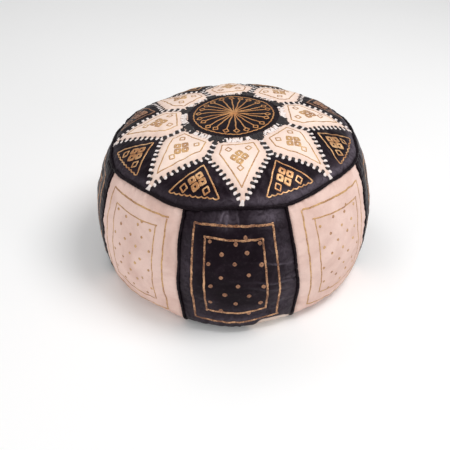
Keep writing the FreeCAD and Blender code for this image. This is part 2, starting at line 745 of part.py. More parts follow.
def zip_slider():
    """Two plates joined by a post that runs between the rows, and a bail under the outer one."""
    body = new_body("zip_slider")
    body.setExpression("Placement.Base.x", expand("{slider_place}"))
    long, wide = "({slider_length} / 2)", "({slider_width} / 2)"
    outer, inner = f"({{zip_height}} - {PLATE_MIDDLE})", f"({{zip_height}} + {PLATE_MIDDLE})"
    block(body, "outer_plate", outer, f"-{long}", long, f"-{wide}", wide, "{plate_thickness}")
    thin = "({post_width} / 2)"
    tall = "(2 * {plate_gap} + {plate_thickness})"
    front = f"({long} - {{post_length}})"
    block(body, "post", "{zip_height}", front, long, f"-{thin}", thin, tall)
    block(body, "inner_plate", inner, f"-{long}", long, f"-{wide}", wide, "{plate_thickness}")
    side = new_sketch(body, "bail_side", "XZ_Plane")
    reach, bar = "({bail_length} / 2)", "{bail_bar}"
    top = "({zip_height} - {plate_gap} - {plate_thickness} / 2)"
    foot = "({zip_height} - {plate_gap} - {plate_thickness} - {bail_height})"
    polygon(side, [
        (f"-{reach}", foot), (reach, foot), (reach, top), (f"{reach} - {bar}", top),
        (f"{reach} - {bar}", f"{foot} + {bar}"), (f"-{reach} + {bar}", f"{foot} + {bar}"),
        (f"-{reach} + {bar}", top), (f"-{reach}", top),
    ])
    pad(body, side, "{bail_width}", "bail")


def zip_pull():
    """A flat tag whose cross bar lies in the bail, along the zip when it is put away."""
    body = new_body("zip_pull")
    body.setExpression("Placement.Base.x", expand("{slider_place}"))
    tag = new_sketch(body, "tag", "XY_Plane", PULL_HEIGHT)
    half, eye = "({pull_width} / 2)", "({eye_width} / 2)"
    near = "({pull_thickness} / 2)"
    polygon(tag, [("0", f"-{half}"), ("0", half), ("-{pull_reach}", half), ("-{pull_reach}", f"-{half}")])
    rectangle(tag, "-{eye_reach}", f"-{near}", f"-{eye}", eye)
    pad(body, tag, "{pull_thickness}", "plate")
    bar = new_sketch(body, "bar", "XZ_Plane")
    bar.addGeometry(Part.Circle(FreeCAD.Vector(0, value(PULL_HEIGHT), 0), FreeCAD.Vector(0, 0, 1), 1), False)
    pin(bar, "Radius", (0,), near)
    pin_point(bar, 0, 3, "0", PULL_HEIGHT)
    pad(body, bar, "{pull_width}", "cross_bar")


def make_zip():
    zip_tape("zip_tape_front", FRONT_HALF)
    zip_tape("zip_tape_rear", REAR_HALF)
    zip_teeth("zip_teeth_front", FRONT_HALF, "{tooth_pitch} / 4")
    zip_teeth("zip_teeth_rear", REAR_HALF, "{tooth_pitch} / 4")
    zip_stops()
    zip_slider()
    zip_pull()


# ---------------------------------------------------------------- all of it

PARTS = "parts"


def nodes():
    """The sub-parts: bodies, primitives and groups that are in no group themselves."""
    kinds = ("PartDesign::Body", "Part::Torus", "Part::Compound")
    grouped = {link.Name for g in doc.Objects if g.TypeId == "Part::Compound" for link in g.Links}
    return [o for o in doc.Objects if o.TypeId in kinds and o.Name not in grouped]


def check():
    for thing in doc.Objects:
        if "Invalid" in thing.State or "Error" in thing.State:
            raise RuntimeError(f"{thing.Name} failed: {thing.State}")
    for node in nodes():
        if node.Shape.isNull() or not node.Shape.isValid() or not node.Shape.Solids:
            raise RuntimeError(f"{node.Label} has no valid solid")


def export():
    os.makedirs(PARTS, exist_ok=True)
    for node in nodes():
        node.Shape.exportStep(f"{PARTS}/{node.Label}.step")
        print(f"{node.Label}: {len(node.Shape.Solids)} solid, {node.Shape.Volume / 1000:.2f} cm3")


make_sheet()
make_star()
make_star_gilding()
make_side()
make_top_welt()
make_panel_gilding()
make_filling()
make_base()
make_zip()
doc.recompute()
check()
export()
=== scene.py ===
"""Looks of the moroccan leather pouf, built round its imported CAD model.

The cover is one surface, addressed by theta, the angle round the pouf from the middle of the front
panel, and by s, the distance over the cover from the middle of the top. A cloth simulation puffs it
between its seams, and every piece of leather, line of gilding, welt and stitch is laid on it.
Lengths are in metres.
"""

from math import acos, asin, cos, pi, radians, sin, sqrt

import bmesh
import bpy
import numpy as np
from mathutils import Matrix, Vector
from numpy.linalg import norm


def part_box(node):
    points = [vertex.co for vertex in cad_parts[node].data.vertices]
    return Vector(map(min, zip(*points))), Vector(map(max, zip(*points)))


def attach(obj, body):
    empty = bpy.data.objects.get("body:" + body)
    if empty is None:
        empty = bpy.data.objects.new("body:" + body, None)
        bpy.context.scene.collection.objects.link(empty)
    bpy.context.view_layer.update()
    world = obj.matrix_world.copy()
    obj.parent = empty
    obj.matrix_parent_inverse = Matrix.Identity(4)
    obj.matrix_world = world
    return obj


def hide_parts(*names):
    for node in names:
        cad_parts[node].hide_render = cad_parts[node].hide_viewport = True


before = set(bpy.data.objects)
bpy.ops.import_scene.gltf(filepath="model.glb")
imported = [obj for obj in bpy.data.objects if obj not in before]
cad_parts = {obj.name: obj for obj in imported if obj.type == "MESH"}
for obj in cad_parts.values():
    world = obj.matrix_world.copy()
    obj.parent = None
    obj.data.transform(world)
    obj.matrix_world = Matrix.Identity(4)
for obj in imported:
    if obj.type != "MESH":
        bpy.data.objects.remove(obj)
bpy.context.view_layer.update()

MM = 0.001
BODY = "cover"
POINTS = 8                      # kites round the star, and panels round the side
STEP = 2 * pi / POINTS
STAR_TURN = radians(2.5)   # the star against the side panels
LEATHER = 1.4 * MM

# ---------- the outline of the cover

CROWN = 621 * MM                # radius of the flat middle of the dome
SHOULDER_START = 120 * MM
SHOULDER = 150 * MM             # radius of the falling rim of the dome
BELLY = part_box("side_panel_1")[0].y * -1
BELLY_HEIGHT = 80 * MM
UPPER = 238.6 * MM              # radius of the side above the belly
LOWER = 291 * MM                # and below it
FLOOR_ARC = 22 * MM
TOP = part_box("medallion")[1].z
WELT_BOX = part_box("top_welt")
RING_WELT = (WELT_BOX[1].z - WELT_BOX[0].z) / 2
RING_PROUD = 0.6 * MM
SEAM_RADIUS = WELT_BOX[1].x - RING_WELT - RING_PROUD
SEAM_HEIGHT = WELT_BOX[1].z - RING_WELT - RING_PROUD
BASE_RADIUS = 165 * MM
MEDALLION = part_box("medallion")[1].x


def arc_points(centre, radius, start, end, pitch=0.5 * MM):
    """Points along an arc between two angles, in the half plane of the outline."""
    count = max(2, int(abs(end - start) * radius / pitch))
    angles = np.linspace(start, end, count)
    return np.stack([centre[0] + radius * np.cos(angles), centre[1] + radius * np.sin(angles)], 1)


def cover_outline():
    """From the middle of the top over the seam and down to the seam of the base."""
    crown_centre = (0, TOP - CROWN)
    turn = acos(SHOULDER_START / CROWN)
    shoulder_centre = (
        (CROWN - SHOULDER) * cos(turn),
        crown_centre[1] + (CROWN - SHOULDER) * sin(turn),
    )
    rim = acos((SEAM_RADIUS - shoulder_centre[0]) / SHOULDER)
    upper_start = asin((SEAM_HEIGHT - BELLY_HEIGHT) / UPPER)
    lower_x = BELLY - LOWER
    drop = BELLY_HEIGHT - FLOOR_ARC
    floor_x = lower_x + sqrt((LOWER - FLOOR_ARC) ** 2 - drop**2)
    low = -asin(drop / (LOWER - FLOOR_ARC))
    dome = [
        arc_points(crown_centre, CROWN, pi / 2, turn),
        arc_points(shoulder_centre, SHOULDER, turn, rim),
    ]
    side = [
        arc_points((BELLY - UPPER, BELLY_HEIGHT), UPPER, upper_start, 0),
        arc_points((lower_x, BELLY_HEIGHT), LOWER, 0, low),
        arc_points((floor_x, FLOOR_ARC), FLOOR_ARC, low, -pi / 2),
        np.array([[floor_x, 0], [BASE_RADIUS, 0]]),
    ]
    dome, side = np.concatenate(dome), np.concatenate(side)
    points = np.concatenate([dome, side])
    steps = np.hypot(*np.diff(points, axis=0).T)
    along = np.concatenate([[0], np.cumsum(steps)])
    keep = np.concatenate([[True], steps > 1e-7])
    return points[keep], along[keep], along[len(dome) - 1]


OUTLINE, ALONG, S_SEAM = cover_outline()
S_END = ALONG[-1]
DOME = ALONG <= S_SEAM


def s_of_radius(radius):
    """How far over the dome a distance from the axis is."""
    return np.interp(radius, OUTLINE[DOME, 0], ALONG[DOME])


def s_of_height(height):
    """How far over the cover a height on the side is."""
    side = ALONG >= S_SEAM
    return np.interp(-np.asarray(height), -OUTLINE[side, 1], ALONG[side])


# ---------- smooth irregularity


def noise(points, wavelength, seed, terms=20):
    """A smooth random field of about unit size over points in space."""
    random = np.random.default_rng(seed)
    directions = random.normal(size=(terms, 3))
    directions /= norm(directions, axis=1)[:, None]
    sizes = 2 * pi / (wavelength * random.uniform(0.7, 1.5, terms))
    phases = random.uniform(0, 2 * pi, terms)
    flat = points.reshape(-1, 3)
    total = np.zeros(len(flat))
    for direction, size, phase in zip(directions, sizes, phases):
        total += np.sin(flat @ direction * size + phase)
    return (total / sqrt(terms / 2)).reshape(points.shape[:-1])


def ripple(along, wavelength, seed, terms=7):
    """Uneven waves along a line, of about unit size, sharper at the crest than in the hollow."""
    random = np.random.default_rng(seed)
    total = np.zeros_like(along)
    for _ in range(terms):
        size = 2 * pi / (wavelength * random.uniform(0.65, 1.7))
        total += np.sin(along * size + random.uniform(0, 2 * pi))
    total /= sqrt(terms / 2)
    return np.sign(total) * np.abs(total) ** 0.8


def bell(distance, width):
    """One at no distance, falling away smoothly over width."""
    return np.exp(-((distance / width) ** 2))


def all_round(count):
    """Angles evenly round a full turn."""
    return np.linspace(0, 2 * pi, count, endpoint=False)


def wrap(angle):
    """An angle brought into half a turn either side of nothing."""
    return (angle + pi) % (2 * pi) - pi


# ---------- the star, in plan

KITE_START = 80.5 * MM
KITE_SHOULDER = 120 * MM
KITE_TIP = 190.5 * MM


def polar(radius, angle):
    """A point in plan, its angle counted from the front, anticlockwise seen from above."""
    return np.stack([radius * np.sin(angle), -radius * np.cos(angle)], -1)


def star_angle(i):
    return STAR_TURN + i * STEP


def star_seams():
    """The straight seams of the star, as pairs of ends in plan."""
    seams = []
    for i in range(POINTS):
        tip = polar(KITE_TIP, star_angle(i))
        for side in (-0.5, 0.5):
            seams.append((polar(KITE_SHOULDER, star_angle(i + side)), tip))
        seams.append((polar(KITE_START, star_angle(i + 0.5)), polar(KITE_SHOULDER, star_angle(i + 0.5))))
    return seams


def distance_to_segment(points, start, end):
    """How far points in plan are from a straight line between two ends."""
    run = end - start
    share = np.clip(((points - start) @ run) / (run @ run), 0, 1)
    return norm(points - start - share[..., None] * run, axis=-1)


def distance_to_star(points):
    """How far points in plan are from the nearest seam of the star."""
    best = np.abs(norm(points, axis=-1) - (MEDALLION + KITE_START) / 2)
    for start, end in star_seams():
        best = np.minimum(best, distance_to_segment(points, start, end))
    return best


# ---------- the surface of the cover

COLUMNS = 40 * POINTS
ROW_PITCH = 3.6 * MM
DOME_ROWS = int(S_SEAM / ROW_PITCH)
SIDE_ROWS = int((S_END - S_SEAM) / ROW_PITCH)
ROWS_S = np.concatenate([
    np.linspace(0, S_SEAM, DOME_ROWS + 1),
    np.linspace(S_SEAM, S_END, SIDE_ROWS + 1)[1:],
])
COLUMN_ANGLE = np.arange(COLUMNS) * 2 * pi / COLUMNS
SEAM_WAVE = 2.0 * MM     # how far the top seam dips and spreads where a side seam meets it

# Where each side seam runs, in mm round from its place, at these heights in mm.
DRIFT_HEIGHTS = (202, 150, 75, 5)
SEAM_DRIFT = (
    (-9.0, -5.0, 2.5, -1.0), (3.0, 1.0, -2.0, 2.5), (-2.5, 0.0, 2.0, -2.0), (4.0, 3.0, 1.0, -1.0),
    (-3.0, -2.5, -1.5, 3.0), (2.0, 0.5, 2.5, -2.5), (-4.0, -2.0, 0.5, 1.5), (1.5, 0.0, -0.5, 6.0),
)
LEAN = 5.0 * MM          # how much higher the rim is on one side than in the middle
BACK_DROP = 7.0 * MM     # how much lower it is at the back than at the front
RIM_SPREAD = 3.0 * MM    # how far it is pulled out to the two sides
FOOT_BULGE = 9.0 * MM    # how far the foot bulges under the front panel


def seam_drift(theta, s):
    """How far round the leather at a place is drawn by the side seams either side of it."""
    heights = s_of_height(np.array(DRIFT_HEIGHTS) * MM)
    drift = np.array(SEAM_DRIFT) * MM / BELLY
    at_seams = np.stack([np.interp(s, heights, row) for row in drift], -1)
    place = theta / STEP - 0.5
    left = np.floor(place).astype(int)
    share = place - left
    share = share**2 * (3 - 2 * share)
    before = np.take_along_axis(at_seams, (left % POINTS)[..., None], -1)[..., 0]
    after = np.take_along_axis(at_seams, ((left + 1) % POINTS)[..., None], -1)[..., 0]
    return (before * (1 - share) + after * share) * np.exp(-np.maximum(S_SEAM - s, 0) / (7 * MM))


def resting_grid():
    """The cover before it is puffed: the turned outline, its rim a little eight-sided.

    It is sewn and stuffed by hand, so it also leans, and its foot bulges under the front panel.
    """
    s, theta = np.meshgrid(ROWS_S, COLUMN_ANGLE, indexing="ij")
    radius = np.interp(s, ALONG, OUTLINE[:, 0])
    height = np.interp(s, ALONG, OUTLINE[:, 1])
    wave = np.cos(POINTS * (theta - STEP / 2)) * bell(s - S_SEAM, 42 * MM) * SEAM_WAVE
    sideways = np.abs(np.sin(theta)) ** 3 * bell(s - S_SEAM, 50 * MM) * RIM_SPREAD
    bulge = bell(wrap(theta + 0.05), 0.38) * bell(height - 12 * MM, 26 * MM) * (s > S_SEAM) * FOOT_BULGE
    height = height - wave
    tilt = LEAN * np.sin(theta) - BACK_DROP * (1 - np.cos(theta)) / 2
    height = height + tilt * np.minimum(radius / SEAM_RADIUS, 1) * height / SEAM_HEIGHT
    radius = radius + wave + sideways + bulge
    plan = polar(radius, theta + seam_drift(theta, s))
    return np.concatenate([plan, height[..., None]], -1)


def grid_normals(grid):
    """Outward normals of the grid, from its neighbours."""
    across = np.roll(grid, -1, 1) - np.roll(grid, 1, 1)
    along = np.gradient(grid, axis=0)
    normals = np.cross(along, across)
    normals[0] = (0, 0, 1)
    return normals / norm(normals, axis=-1)[..., None]


def pinned(grid, first_row):
    """Where the cover is held: at its seams, and at both ends of the cloth."""
    held = np.zeros(grid.shape[:2], bool)
    held[first_row] = held[-1] = held[DOME_ROWS] = True
    seams = [int(COLUMNS * (k + 0.5) / POINTS) for k in range(POINTS)]
    held[DOME_ROWS:, seams] = True
    under = np.interp(ROWS_S, ALONG, OUTLINE[:, 1]) < 0.5 * MM
    held[under] = True
    held[:DOME_ROWS] |= distance_to_star(grid[:DOME_ROWS, :, :2]) < 1.7 * MM
    return held[first_row:]


FRAMES = 18
PUFF_CAP = 7 * MM        # the most that the cover may move
CLOTH = {
    "quality": 4,
    "mass": 0.4,
    "tension_stiffness": 40,
    "compression_stiffness": 40,
    "shear_stiffness": 15,
    "bending_stiffness": 2.0,
    "vertex_group_mass": "held",
    "shrink_min": -0.010,           # the leather is that much larger than the shape it is sewn to
    "use_pressure": True,
    "uniform_pressure_force": 3.0,
}


def puff(grid):
    """Runs the cover as cloth with air under it, held at its seams, and returns where it goes."""
    first_row = int(np.searchsorted(ROWS_S, MEDALLION * 0.9))
    part = grid[first_row:]
    rows, columns = part.shape[:2]
    index = np.arange(rows * columns).reshape(rows, columns)
    beside = np.roll(index, -1, 1)
    faces = np.stack([index[:-1], index[1:], beside[1:], beside[:-1]], -1).reshape(-1, 4)
    mesh = bpy.data.meshes.new("cloth")
    mesh.from_pydata(part.reshape(-1, 3).tolist(), [], faces.tolist())
    cloth = bpy.data.objects.new("cloth", mesh)
    bpy.context.scene.collection.objects.link(cloth)
    group = cloth.vertex_groups.new(name="held")
    group.add(index[pinned(grid, first_row)].tolist(), 1.0, "REPLACE")
    modifier = cloth.modifiers.new("Cloth", "CLOTH")
    for key, setting in CLOTH.items():
        setattr(modifier.settings, key, setting)
    modifier.settings.effector_weights.gravity = 0
    modifier.collision_settings.use_collision = False
    scene = bpy.context.scene
    scene.frame_end = max(scene.frame_end, FRAMES)
    for number in range(1, FRAMES + 1):
        scene.frame_set(number)
    shaped = cloth.evaluated_get(bpy.context.evaluated_depsgraph_get()).data
    places = np.empty(len(shaped.vertices) * 3)
    shaped.vertices.foreach_get("co", places)
    scene.frame_set(1)
    bpy.data.objects.remove(cloth)
    moved = places.reshape(part.shape) - part
    size = norm(moved, axis=-1, keepdims=True)
    moved *= np.minimum(1, PUFF_CAP / np.maximum(size, 1e-9))
    result = grid.copy()
    result[first_row:] += moved
    result[..., 2] = np.maximum(result[..., 2], 0)
    return result


GRID = resting_grid()
GRID = puff(GRID)
NORMALS = grid_normals(GRID)


def sample(field, theta, s):
    """A field of the grid at any place on the cover, by cubic interpolation."""
    column = np.asarray(theta) / (2 * pi) * COLUMNS
    row = np.interp(s, ROWS_S, np.arange(len(ROWS_S)))
    column0, row0 = np.floor(column).astype(int), np.floor(row).astype(int)
    total = 0
    for i, row_weight in enumerate(cubic(row - row0)):
        rows = np.clip(row0 + i - 1, 0, len(ROWS_S) - 1)
        for j, column_weight in enumerate(cubic(column - column0)):
            columns = (column0 + j - 1) % COLUMNS
            total = total + field[rows, columns] * (row_weight * column_weight)[..., None]
    return total


def cubic(share):
    """Weights of the four neighbours of a place between the two middle ones."""
    a, b, c = share, share**2, share**3
    return (-a + 2 * b - c) / 2, (2 - 5 * b + 3 * c) / 2, (a + 4 * b - 3 * c) / 2, (c - b) / 2


def side_seam_distance(theta, s):
    """How far a place is from the nearest side seam, and the number of that seam."""
    number = np.round(theta / STEP - 0.5)
    radius = np.interp(s, ALONG, OUTLINE[:, 0])
    return wrap(theta - (number + 0.5) * STEP) * radius, number % POINTS


# Folds: degrees round from the front, height in mm, lean in degrees, half length and depth in mm.
FOLDS = (
    (14.5, 121, -11, 24, 0.9), (17.0, 117, -16, 15, 0.675), (13.0, 90, -9, 28, 0.825),
    (18.5, 94, -4, 12, 0.675), (8.0, 82, -12, 20, 0.525), (-3.0, 187, 84, 10, 1.95),
    (-5.5, 190, 70, 9, 1.35), (1.5, 189, 104, 9, 1.05), (-11.0, 60, -10, 18, 0.375),
    (-36.0, 183, 60, 9, 0.9), (-33.0, 176, 20, 10, 0.75), (-28.0, 120, 4, 9, 0.525),
    (-27.5, 98, -6, 8, 0.525), (38.0, 176, 100, 8, 0.6), (96.0, 112, 5, 22, 0.75),
    (84.0, 90, -8, 16, 0.675), (140.0, 180, 85, 9, 0.9), (187.0, 96, 3, 26, 0.75),
    (173.0, 124, -6, 18, 0.675), (226.0, 178, 95, 9, 0.9), (262.0, 104, 6, 22, 0.75),
    (275.0, 82, -4, 18, 0.6), (312.0, 60, 12, 20, 0.525), (54.0, 62, -8, 18, 0.45),
)
HOLLOW, CREST, CREST_OFF = 1.3 * MM, 2.2 * MM, 1.8 * MM    # of a fold, across it


def creases(theta, s):
    """The height of the single folds at a place: each a hollow with a crest beside it."""
    total = np.zeros(np.broadcast(theta, s).shape)
    for angle, height, lean, length, depth in FOLDS:
        across = wrap(theta - radians(angle)) * BELLY
        up = s_of_height(height * MM) - s
        turn = radians(lean)
        along = across * cos(turn) + up * sin(turn)
        off = up * cos(turn) - across * sin(turn)
        off = off + 0.6 * MM * np.sin(along / (7 * MM) + height)
        fade = bell(along, length * MM)
        total += depth * MM * fade * (bell(off - CREST_OFF, CREST) - bell(off, HOLLOW))
    return total


# Patches of painted sheen, where the black leather's colour is made lighter: degrees, height in mm, half
# sizes in both, how much.
PAINTED_SHEENS = (
    (13.5, 191, 7, 13, 1.0), (-3.5, 188, 4, 12, 0.7), (15.5, 150, 4, 30, 0.35), (17.0, 62, 4, 34, 0.45),
    (-14.0, 40, 5, 30, 0.3), (2.0, 24, 17, 10, 0.8), (-19.0, 118, 2.6, 60, 0.45),
    (19.5, 120, 3, 50, 0.35), (-9.0, 190, 6, 11, 0.35), (5.0, 44, 12, 9, 0.4), (88.0, 188, 12, 12, 0.7),
    (97.0, 60, 10, 40, 0.4), (176.0, 190, 10, 12, 0.8), (184.0, 70, 12, 30, 0.4),
    (262.0, 186, 9, 14, 0.7), (278.0, 70, 9, 40, 0.4),
)
# Painted highlights along the crests of folds, and a band of painted sheen inside the top seam.
CREST_SHEEN = 0.9                # of a crest 1 mm high
RIM_SHEEN_AT = 9 * MM            # inwards from the top seam
RIM_SHEEN_HALF = 8 * MM


def bloom(theta, s):
    """How much painted sheen lightens the black leather at a place: in patches, as painted highlights
    along the crests of folds, and in a band inside the top seam.
    """
    total = np.clip(creases(theta, s) / MM * CREST_SHEEN, 0, 1)
    for angle, height, half_angle, half_height, amount in PAINTED_SHEENS:
        off = s_of_height(height * MM) - s
        across = wrap(theta - radians(angle)) / radians(half_angle)
        total = total + amount * bell(across, 1.0) * bell(off, half_height * MM) * (s > S_SEAM)
    rim = bell(S_SEAM - s - RIM_SHEEN_AT, RIM_SHEEN_HALF) * (s < S_SEAM)
    return total + rim * (0.72 + 0.4 * np.sin(theta - 0.3 + 1.2 * np.sin(2 * theta)))


# Swells of the leather, on the whole cover and on the side only: height and wavelength in mm, seed,
# and how much faster they come along each axis.
SWELLS = ((0.7, 90, 3, (1, 1, 1)), (0.26, 34, 4, (1, 1, 1)))
SIDE_SWELLS = ((0.11, 15, 14, (0.6, 0.6, 1.6)), (0.28, 30, 15, (1.5, 1.5, 0.6)))


def swell(places, rows):
    return sum(noise(places * pace, wave * MM, seed) * height * MM for height, wave, seed, pace in rows)


def puckers(along, wave, seed, away, reach, start=3 * MM):
    """Waves along a seam, that start a little away from it and die out over a reach."""
    return ripple(along, wave, seed) * np.exp(-away / reach) * (1 - np.exp(-away / start))


def relief(theta, s, places):
    """Fine shape that the cloth's grid is too coarse for: seams drawn in, puckers and folds."""
    below = np.maximum(s - S_SEAM, 0)
    above = np.maximum(S_SEAM - s, 0)
    on_side = s > S_SEAM
    across, number = side_seam_distance(theta, s)
    gap = np.abs(across)
    girth = theta * SEAM_RADIUS
    level = swell(places, SWELLS) + swell(places, SIDE_SWELLS) * on_side
    gather = 0.55 + 0.45 * noise(places, 70 * MM, 5)
    pucker = puckers(girth, 13 * MM, 6, below, 13 * MM)
    crown = puckers(girth, 16 * MM, 7, above, 9 * MM)
    foot = ripple(girth, 15 * MM, 8) * np.exp(-(S_END - s) / (26 * MM))
    beside = puckers(s + number * 0.37 + 0.11 * (across > 0), 10 * MM, 9, gap, 8 * MM)
    side = pucker * gather * 1.3 * MM + foot * 0.7 * MM + beside * 0.55 * MM * gather
    side = side - 1.5 * MM * bell(gap, 4.5 * MM) - 1.0 * MM * bell(below, 4 * MM)
    top = crown * gather * 0.45 * MM - 1.0 * MM * bell(above, 5 * MM)
    top = top - 0.9 * MM * bell(distance_to_star(places[..., :2]), 4.5 * MM)
    flat = np.clip(places[..., 2] / (6 * MM), 0, 1)
    return (level + np.where(on_side, side + creases(theta, s), top)) * flat


def skin(theta, s, lift=0.0):
    """The surface of the leather at a place on the cover, lifted off it by lift."""
    theta, s = np.broadcast_arrays(np.asarray(theta, float), np.asarray(s, float))
    places = sample(GRID, theta, s)
    normals = sample(NORMALS, theta, s)
    normals /= norm(normals, axis=-1, keepdims=True)
    return places + normals * (relief(theta, s, places) + lift)[..., None]


def on_top(points, lift=0.0):
    """The surface over points in plan."""
    theta = np.arctan2(points[..., 0], -points[..., 1])
    return skin(theta, s_of_radius(norm(points, axis=-1)), lift)


# ---------- meshes

NO_FACES = np.empty((0, 4), int)


class Pile:
    """Vertices and faces gathered for one piece."""

    def __init__(self):
        self.points, self.faces, self.edge, self.bloom, self.count = [], [], [], [], 0

    def add(self, points, faces, edge=None, painted_sheen_amount=None):
        points = np.asarray(points).reshape(-1, 3)
        self.points.append(points)
        self.faces.extend((np.asarray(faces) + self.count).tolist())
        self.edge.append(np.full(len(points), 1.0) if edge is None else np.ravel(edge))
        # Amounts of painted sheen, by which the black leather's material lightens its colour.
        self.bloom.append(np.zeros(len(points)) if painted_sheen_amount is None else np.ravel(painted_sheen_amount))
        self.count += len(points)

    def build(self, name, material, slot, replaces=(), thickness=0.0, body=BODY):
        mesh = bpy.data.meshes.new(name)
        mesh.from_pydata(np.concatenate(self.points).tolist(), [], self.faces)
        mesh.shade_smooth()
        mesh.materials.append(material)
        for kind, amounts in (("from_edge", self.edge), ("bloom", self.bloom)):
            colour_mask = mesh.attributes.new(kind, "FLOAT", "POINT")
            colour_mask.data.foreach_set("value", np.concatenate(amounts).astype(np.float32))
        mesh.validate()
        if not thickness:
            face_outwards(mesh)
        piece = bpy.data.objects.new(name, mesh)
        bpy.context.scene.collection.objects.link(piece)
        if thickness:
            shell = piece.modifiers.new("thickness", "SOLIDIFY")
            shell.thickness = thickness
            shell.offset = -1
        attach(piece, body)
        if replaces:
            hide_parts(*replaces)
        return piece


def face_outwards(mesh):
    """Turns the faces of closed shapes outwards."""
    shape = bmesh.new()
    shape.from_mesh(mesh)
    bmesh.ops.recalc_face_normals(shape, faces=shape.faces)
    shape.to_mesh(mesh)
    shape.free()


def strip_faces(rows, columns, closed_rows=False, closed_columns=False):
    """Quads over a grid of points, joined up where it closes on itself."""
    index = np.arange(rows * columns).reshape(rows, columns)
    if closed_rows:
        index = np.concatenate([index, index[:1]])
    if closed_columns:
        index = np.concatenate([index, index[:, :1]], 1)
    corners = [index[:-1, :-1], index[:-1, 1:], index[1:, 1:], index[1:, :-1]]
    return np.stack(corners, -1).reshape(-1, 4)


def cap_faces(rows, columns):
    """Fans that shut both ends of a tube of rows rings, each of columns points."""
    last = (rows - 1) * columns
    first_end = [[0, k, k + 1] for k in range(1, columns - 1)]
    last_end = [[last, last + k + 1, last + k] for k in range(1, columns - 1)]
    return first_end + last_end


def add_tube(pile, rings, closed=False):
    """A tube through rings of points; its ends are shut unless it closes on itself."""
    rows, columns = rings.shape[:2]
    faces = strip_faces(rows, columns, closed, True).tolist()
    base = pile.count
    pile.add(rings, faces)
    if not closed:
        shut = np.asarray(cap_faces(rows, columns)) + base
        pile.faces.extend(shut.tolist())


# ---------- pieces of leather


def densify(corners, pitch, closed=True):
    """Points along straight lines between corners, about pitch apart."""
    corners = np.asarray(corners, float)
    ends = np.roll(corners, -1, 0) if closed else corners[1:]
    points = []
    for start, end in zip(corners, ends):
        count = max(1, int(round(norm(end - start) / pitch)))
        share = np.arange(count)[:, None] / count
        points.append(start + (end - start) * share)
    if not closed:
        points.append(corners[-1:])
    return np.concatenate(points)


def disc_points(outline, centre, rings):
    """Rings of points from a centre out to an outline, closer together towards the outline."""
    share = np.sin(np.linspace(0, pi / 2, rings + 1))[1:]
    return centre + (outline - centre) * share[:, None, None]


def leather_disc(name, outline, centre, rings, place, material, slot, replaces):
    """A piece of leather or cloth inside an outline in plan, laid on a surface by place."""
    points = disc_points(outline, centre, rings)
    columns = len(outline)
    middle = place(np.asarray(centre)[None])
    edge = np.min([norm(points - p, axis=-1) for p in outline[::3]], axis=0)
    pile = Pile()
    pile.add(middle, NO_FACES, [1.0])
    angle = np.arctan2(points[..., 0], -points[..., 1])
    # Painted sheen, for the black leather's material.
    painted_sheen_amount = bloom(angle, s_of_radius(norm(points, axis=-1)))
    pile.add(place(points), strip_faces(rings, columns, closed_columns=True)[:, ::-1], edge / MM, painted_sheen_amount)
    fan = [[0, 1 + k, 1 + (k + 1) % columns] for k in range(columns)]
    pile.faces.extend(fan)
    return pile.build(name, material, slot, replaces, LEATHER)


OUTLINE_PITCH = 2.2 * MM
RINGS = 24                   # of points in a kite or a gusset
MEDALLION_RINGS = 44
KITE_MIDDLE = 122 * MM       # from the axis to the place that the rings of a piece close in on
GUSSET_MIDDLE = 166 * MM
KITE_INNER = MEDALLION + 1 * MM     # from the axis to the inner corners of a kite's leather


def make_medallion(look):
    outline = polar(MEDALLION + 2 * MM, all_round(240))
    leather_disc("medallion_leather", outline, np.zeros(2), MEDALLION_RINGS, on_top, look,
                 "leather_black", ["medallion"])


def kite_corners(turn, inset=0.0):
    """A kite in plan: two inner corners, two shoulders and the tip."""
    return [
        polar(KITE_START + inset, turn - STEP / 2 + inset / KITE_START),
        polar(KITE_SHOULDER, turn - STEP / 2 + inset / KITE_SHOULDER),
        polar(KITE_TIP - 2 * inset, turn),
        polar(KITE_SHOULDER, turn + STEP / 2 - inset / KITE_SHOULDER),
        polar(KITE_START + inset, turn + STEP / 2 - inset / KITE_START),
    ]


EDGE = 0.25 * MM     # half the gap between two pieces of leather at a seam


def make_kite(i, look):
    turn = star_angle(i)
    corners = kite_corners(turn, EDGE)
    for inner in (0, 4):
        corners[inner] = corners[inner] * KITE_INNER / KITE_START
    outline = densify(corners, OUTLINE_PITCH)
    name = f"kite_{i + 1}"
    leather_disc(f"{name}_leather", outline, polar(KITE_MIDDLE, turn), RINGS, on_top, look,
                 "leather_natural", [name])


def make_gusset(i, look):
    turn = star_angle(i + 0.5)
    tips = [polar(KITE_TIP - 0.5 * MM, turn - STEP / 2), polar(KITE_TIP - 0.5 * MM, turn + STEP / 2)]
    sides = densify([tips[1], polar(KITE_SHOULDER + EDGE, turn), tips[0]], OUTLINE_PITCH, closed=False)
    rim = polar(SEAM_RADIUS - 0.6 * MM, np.linspace(turn - STEP / 2, turn + STEP / 2, 72))
    outline = np.concatenate([sides, rim])
    name = f"gusset_{i + 1}"
    leather_disc(f"{name}_leather", outline, polar(GUSSET_MIDDLE, turn), RINGS, on_top, look,
                 "leather_black", [name])


PANEL_EDGE = 1.0 * MM
PANEL_COLUMNS, PANEL_ROWS = 92, 124

# Where the base comes up round the foot of the side: degrees from the front, half width, height in mm.
HEM_RISES = ((14.0, 13.0, 46.0), (118.0, 22.0, 24.0), (203.0, 20.0, 34.0), (290.0, 17.0, 18.0))


def hem(theta):
    """How far over the cover the side panels reach, down to the seam of the base."""
    rise = 13.0 + 4.5 * np.sin(3 * theta + 1.0) + 3.0 * np.sin(7 * theta)
    for angle, width, height in HEM_RISES:
        off = wrap(theta - radians(angle)) / radians(width)
        rise = rise + height * np.exp(-np.abs(off) ** 3)
    return S_END - rise * MM


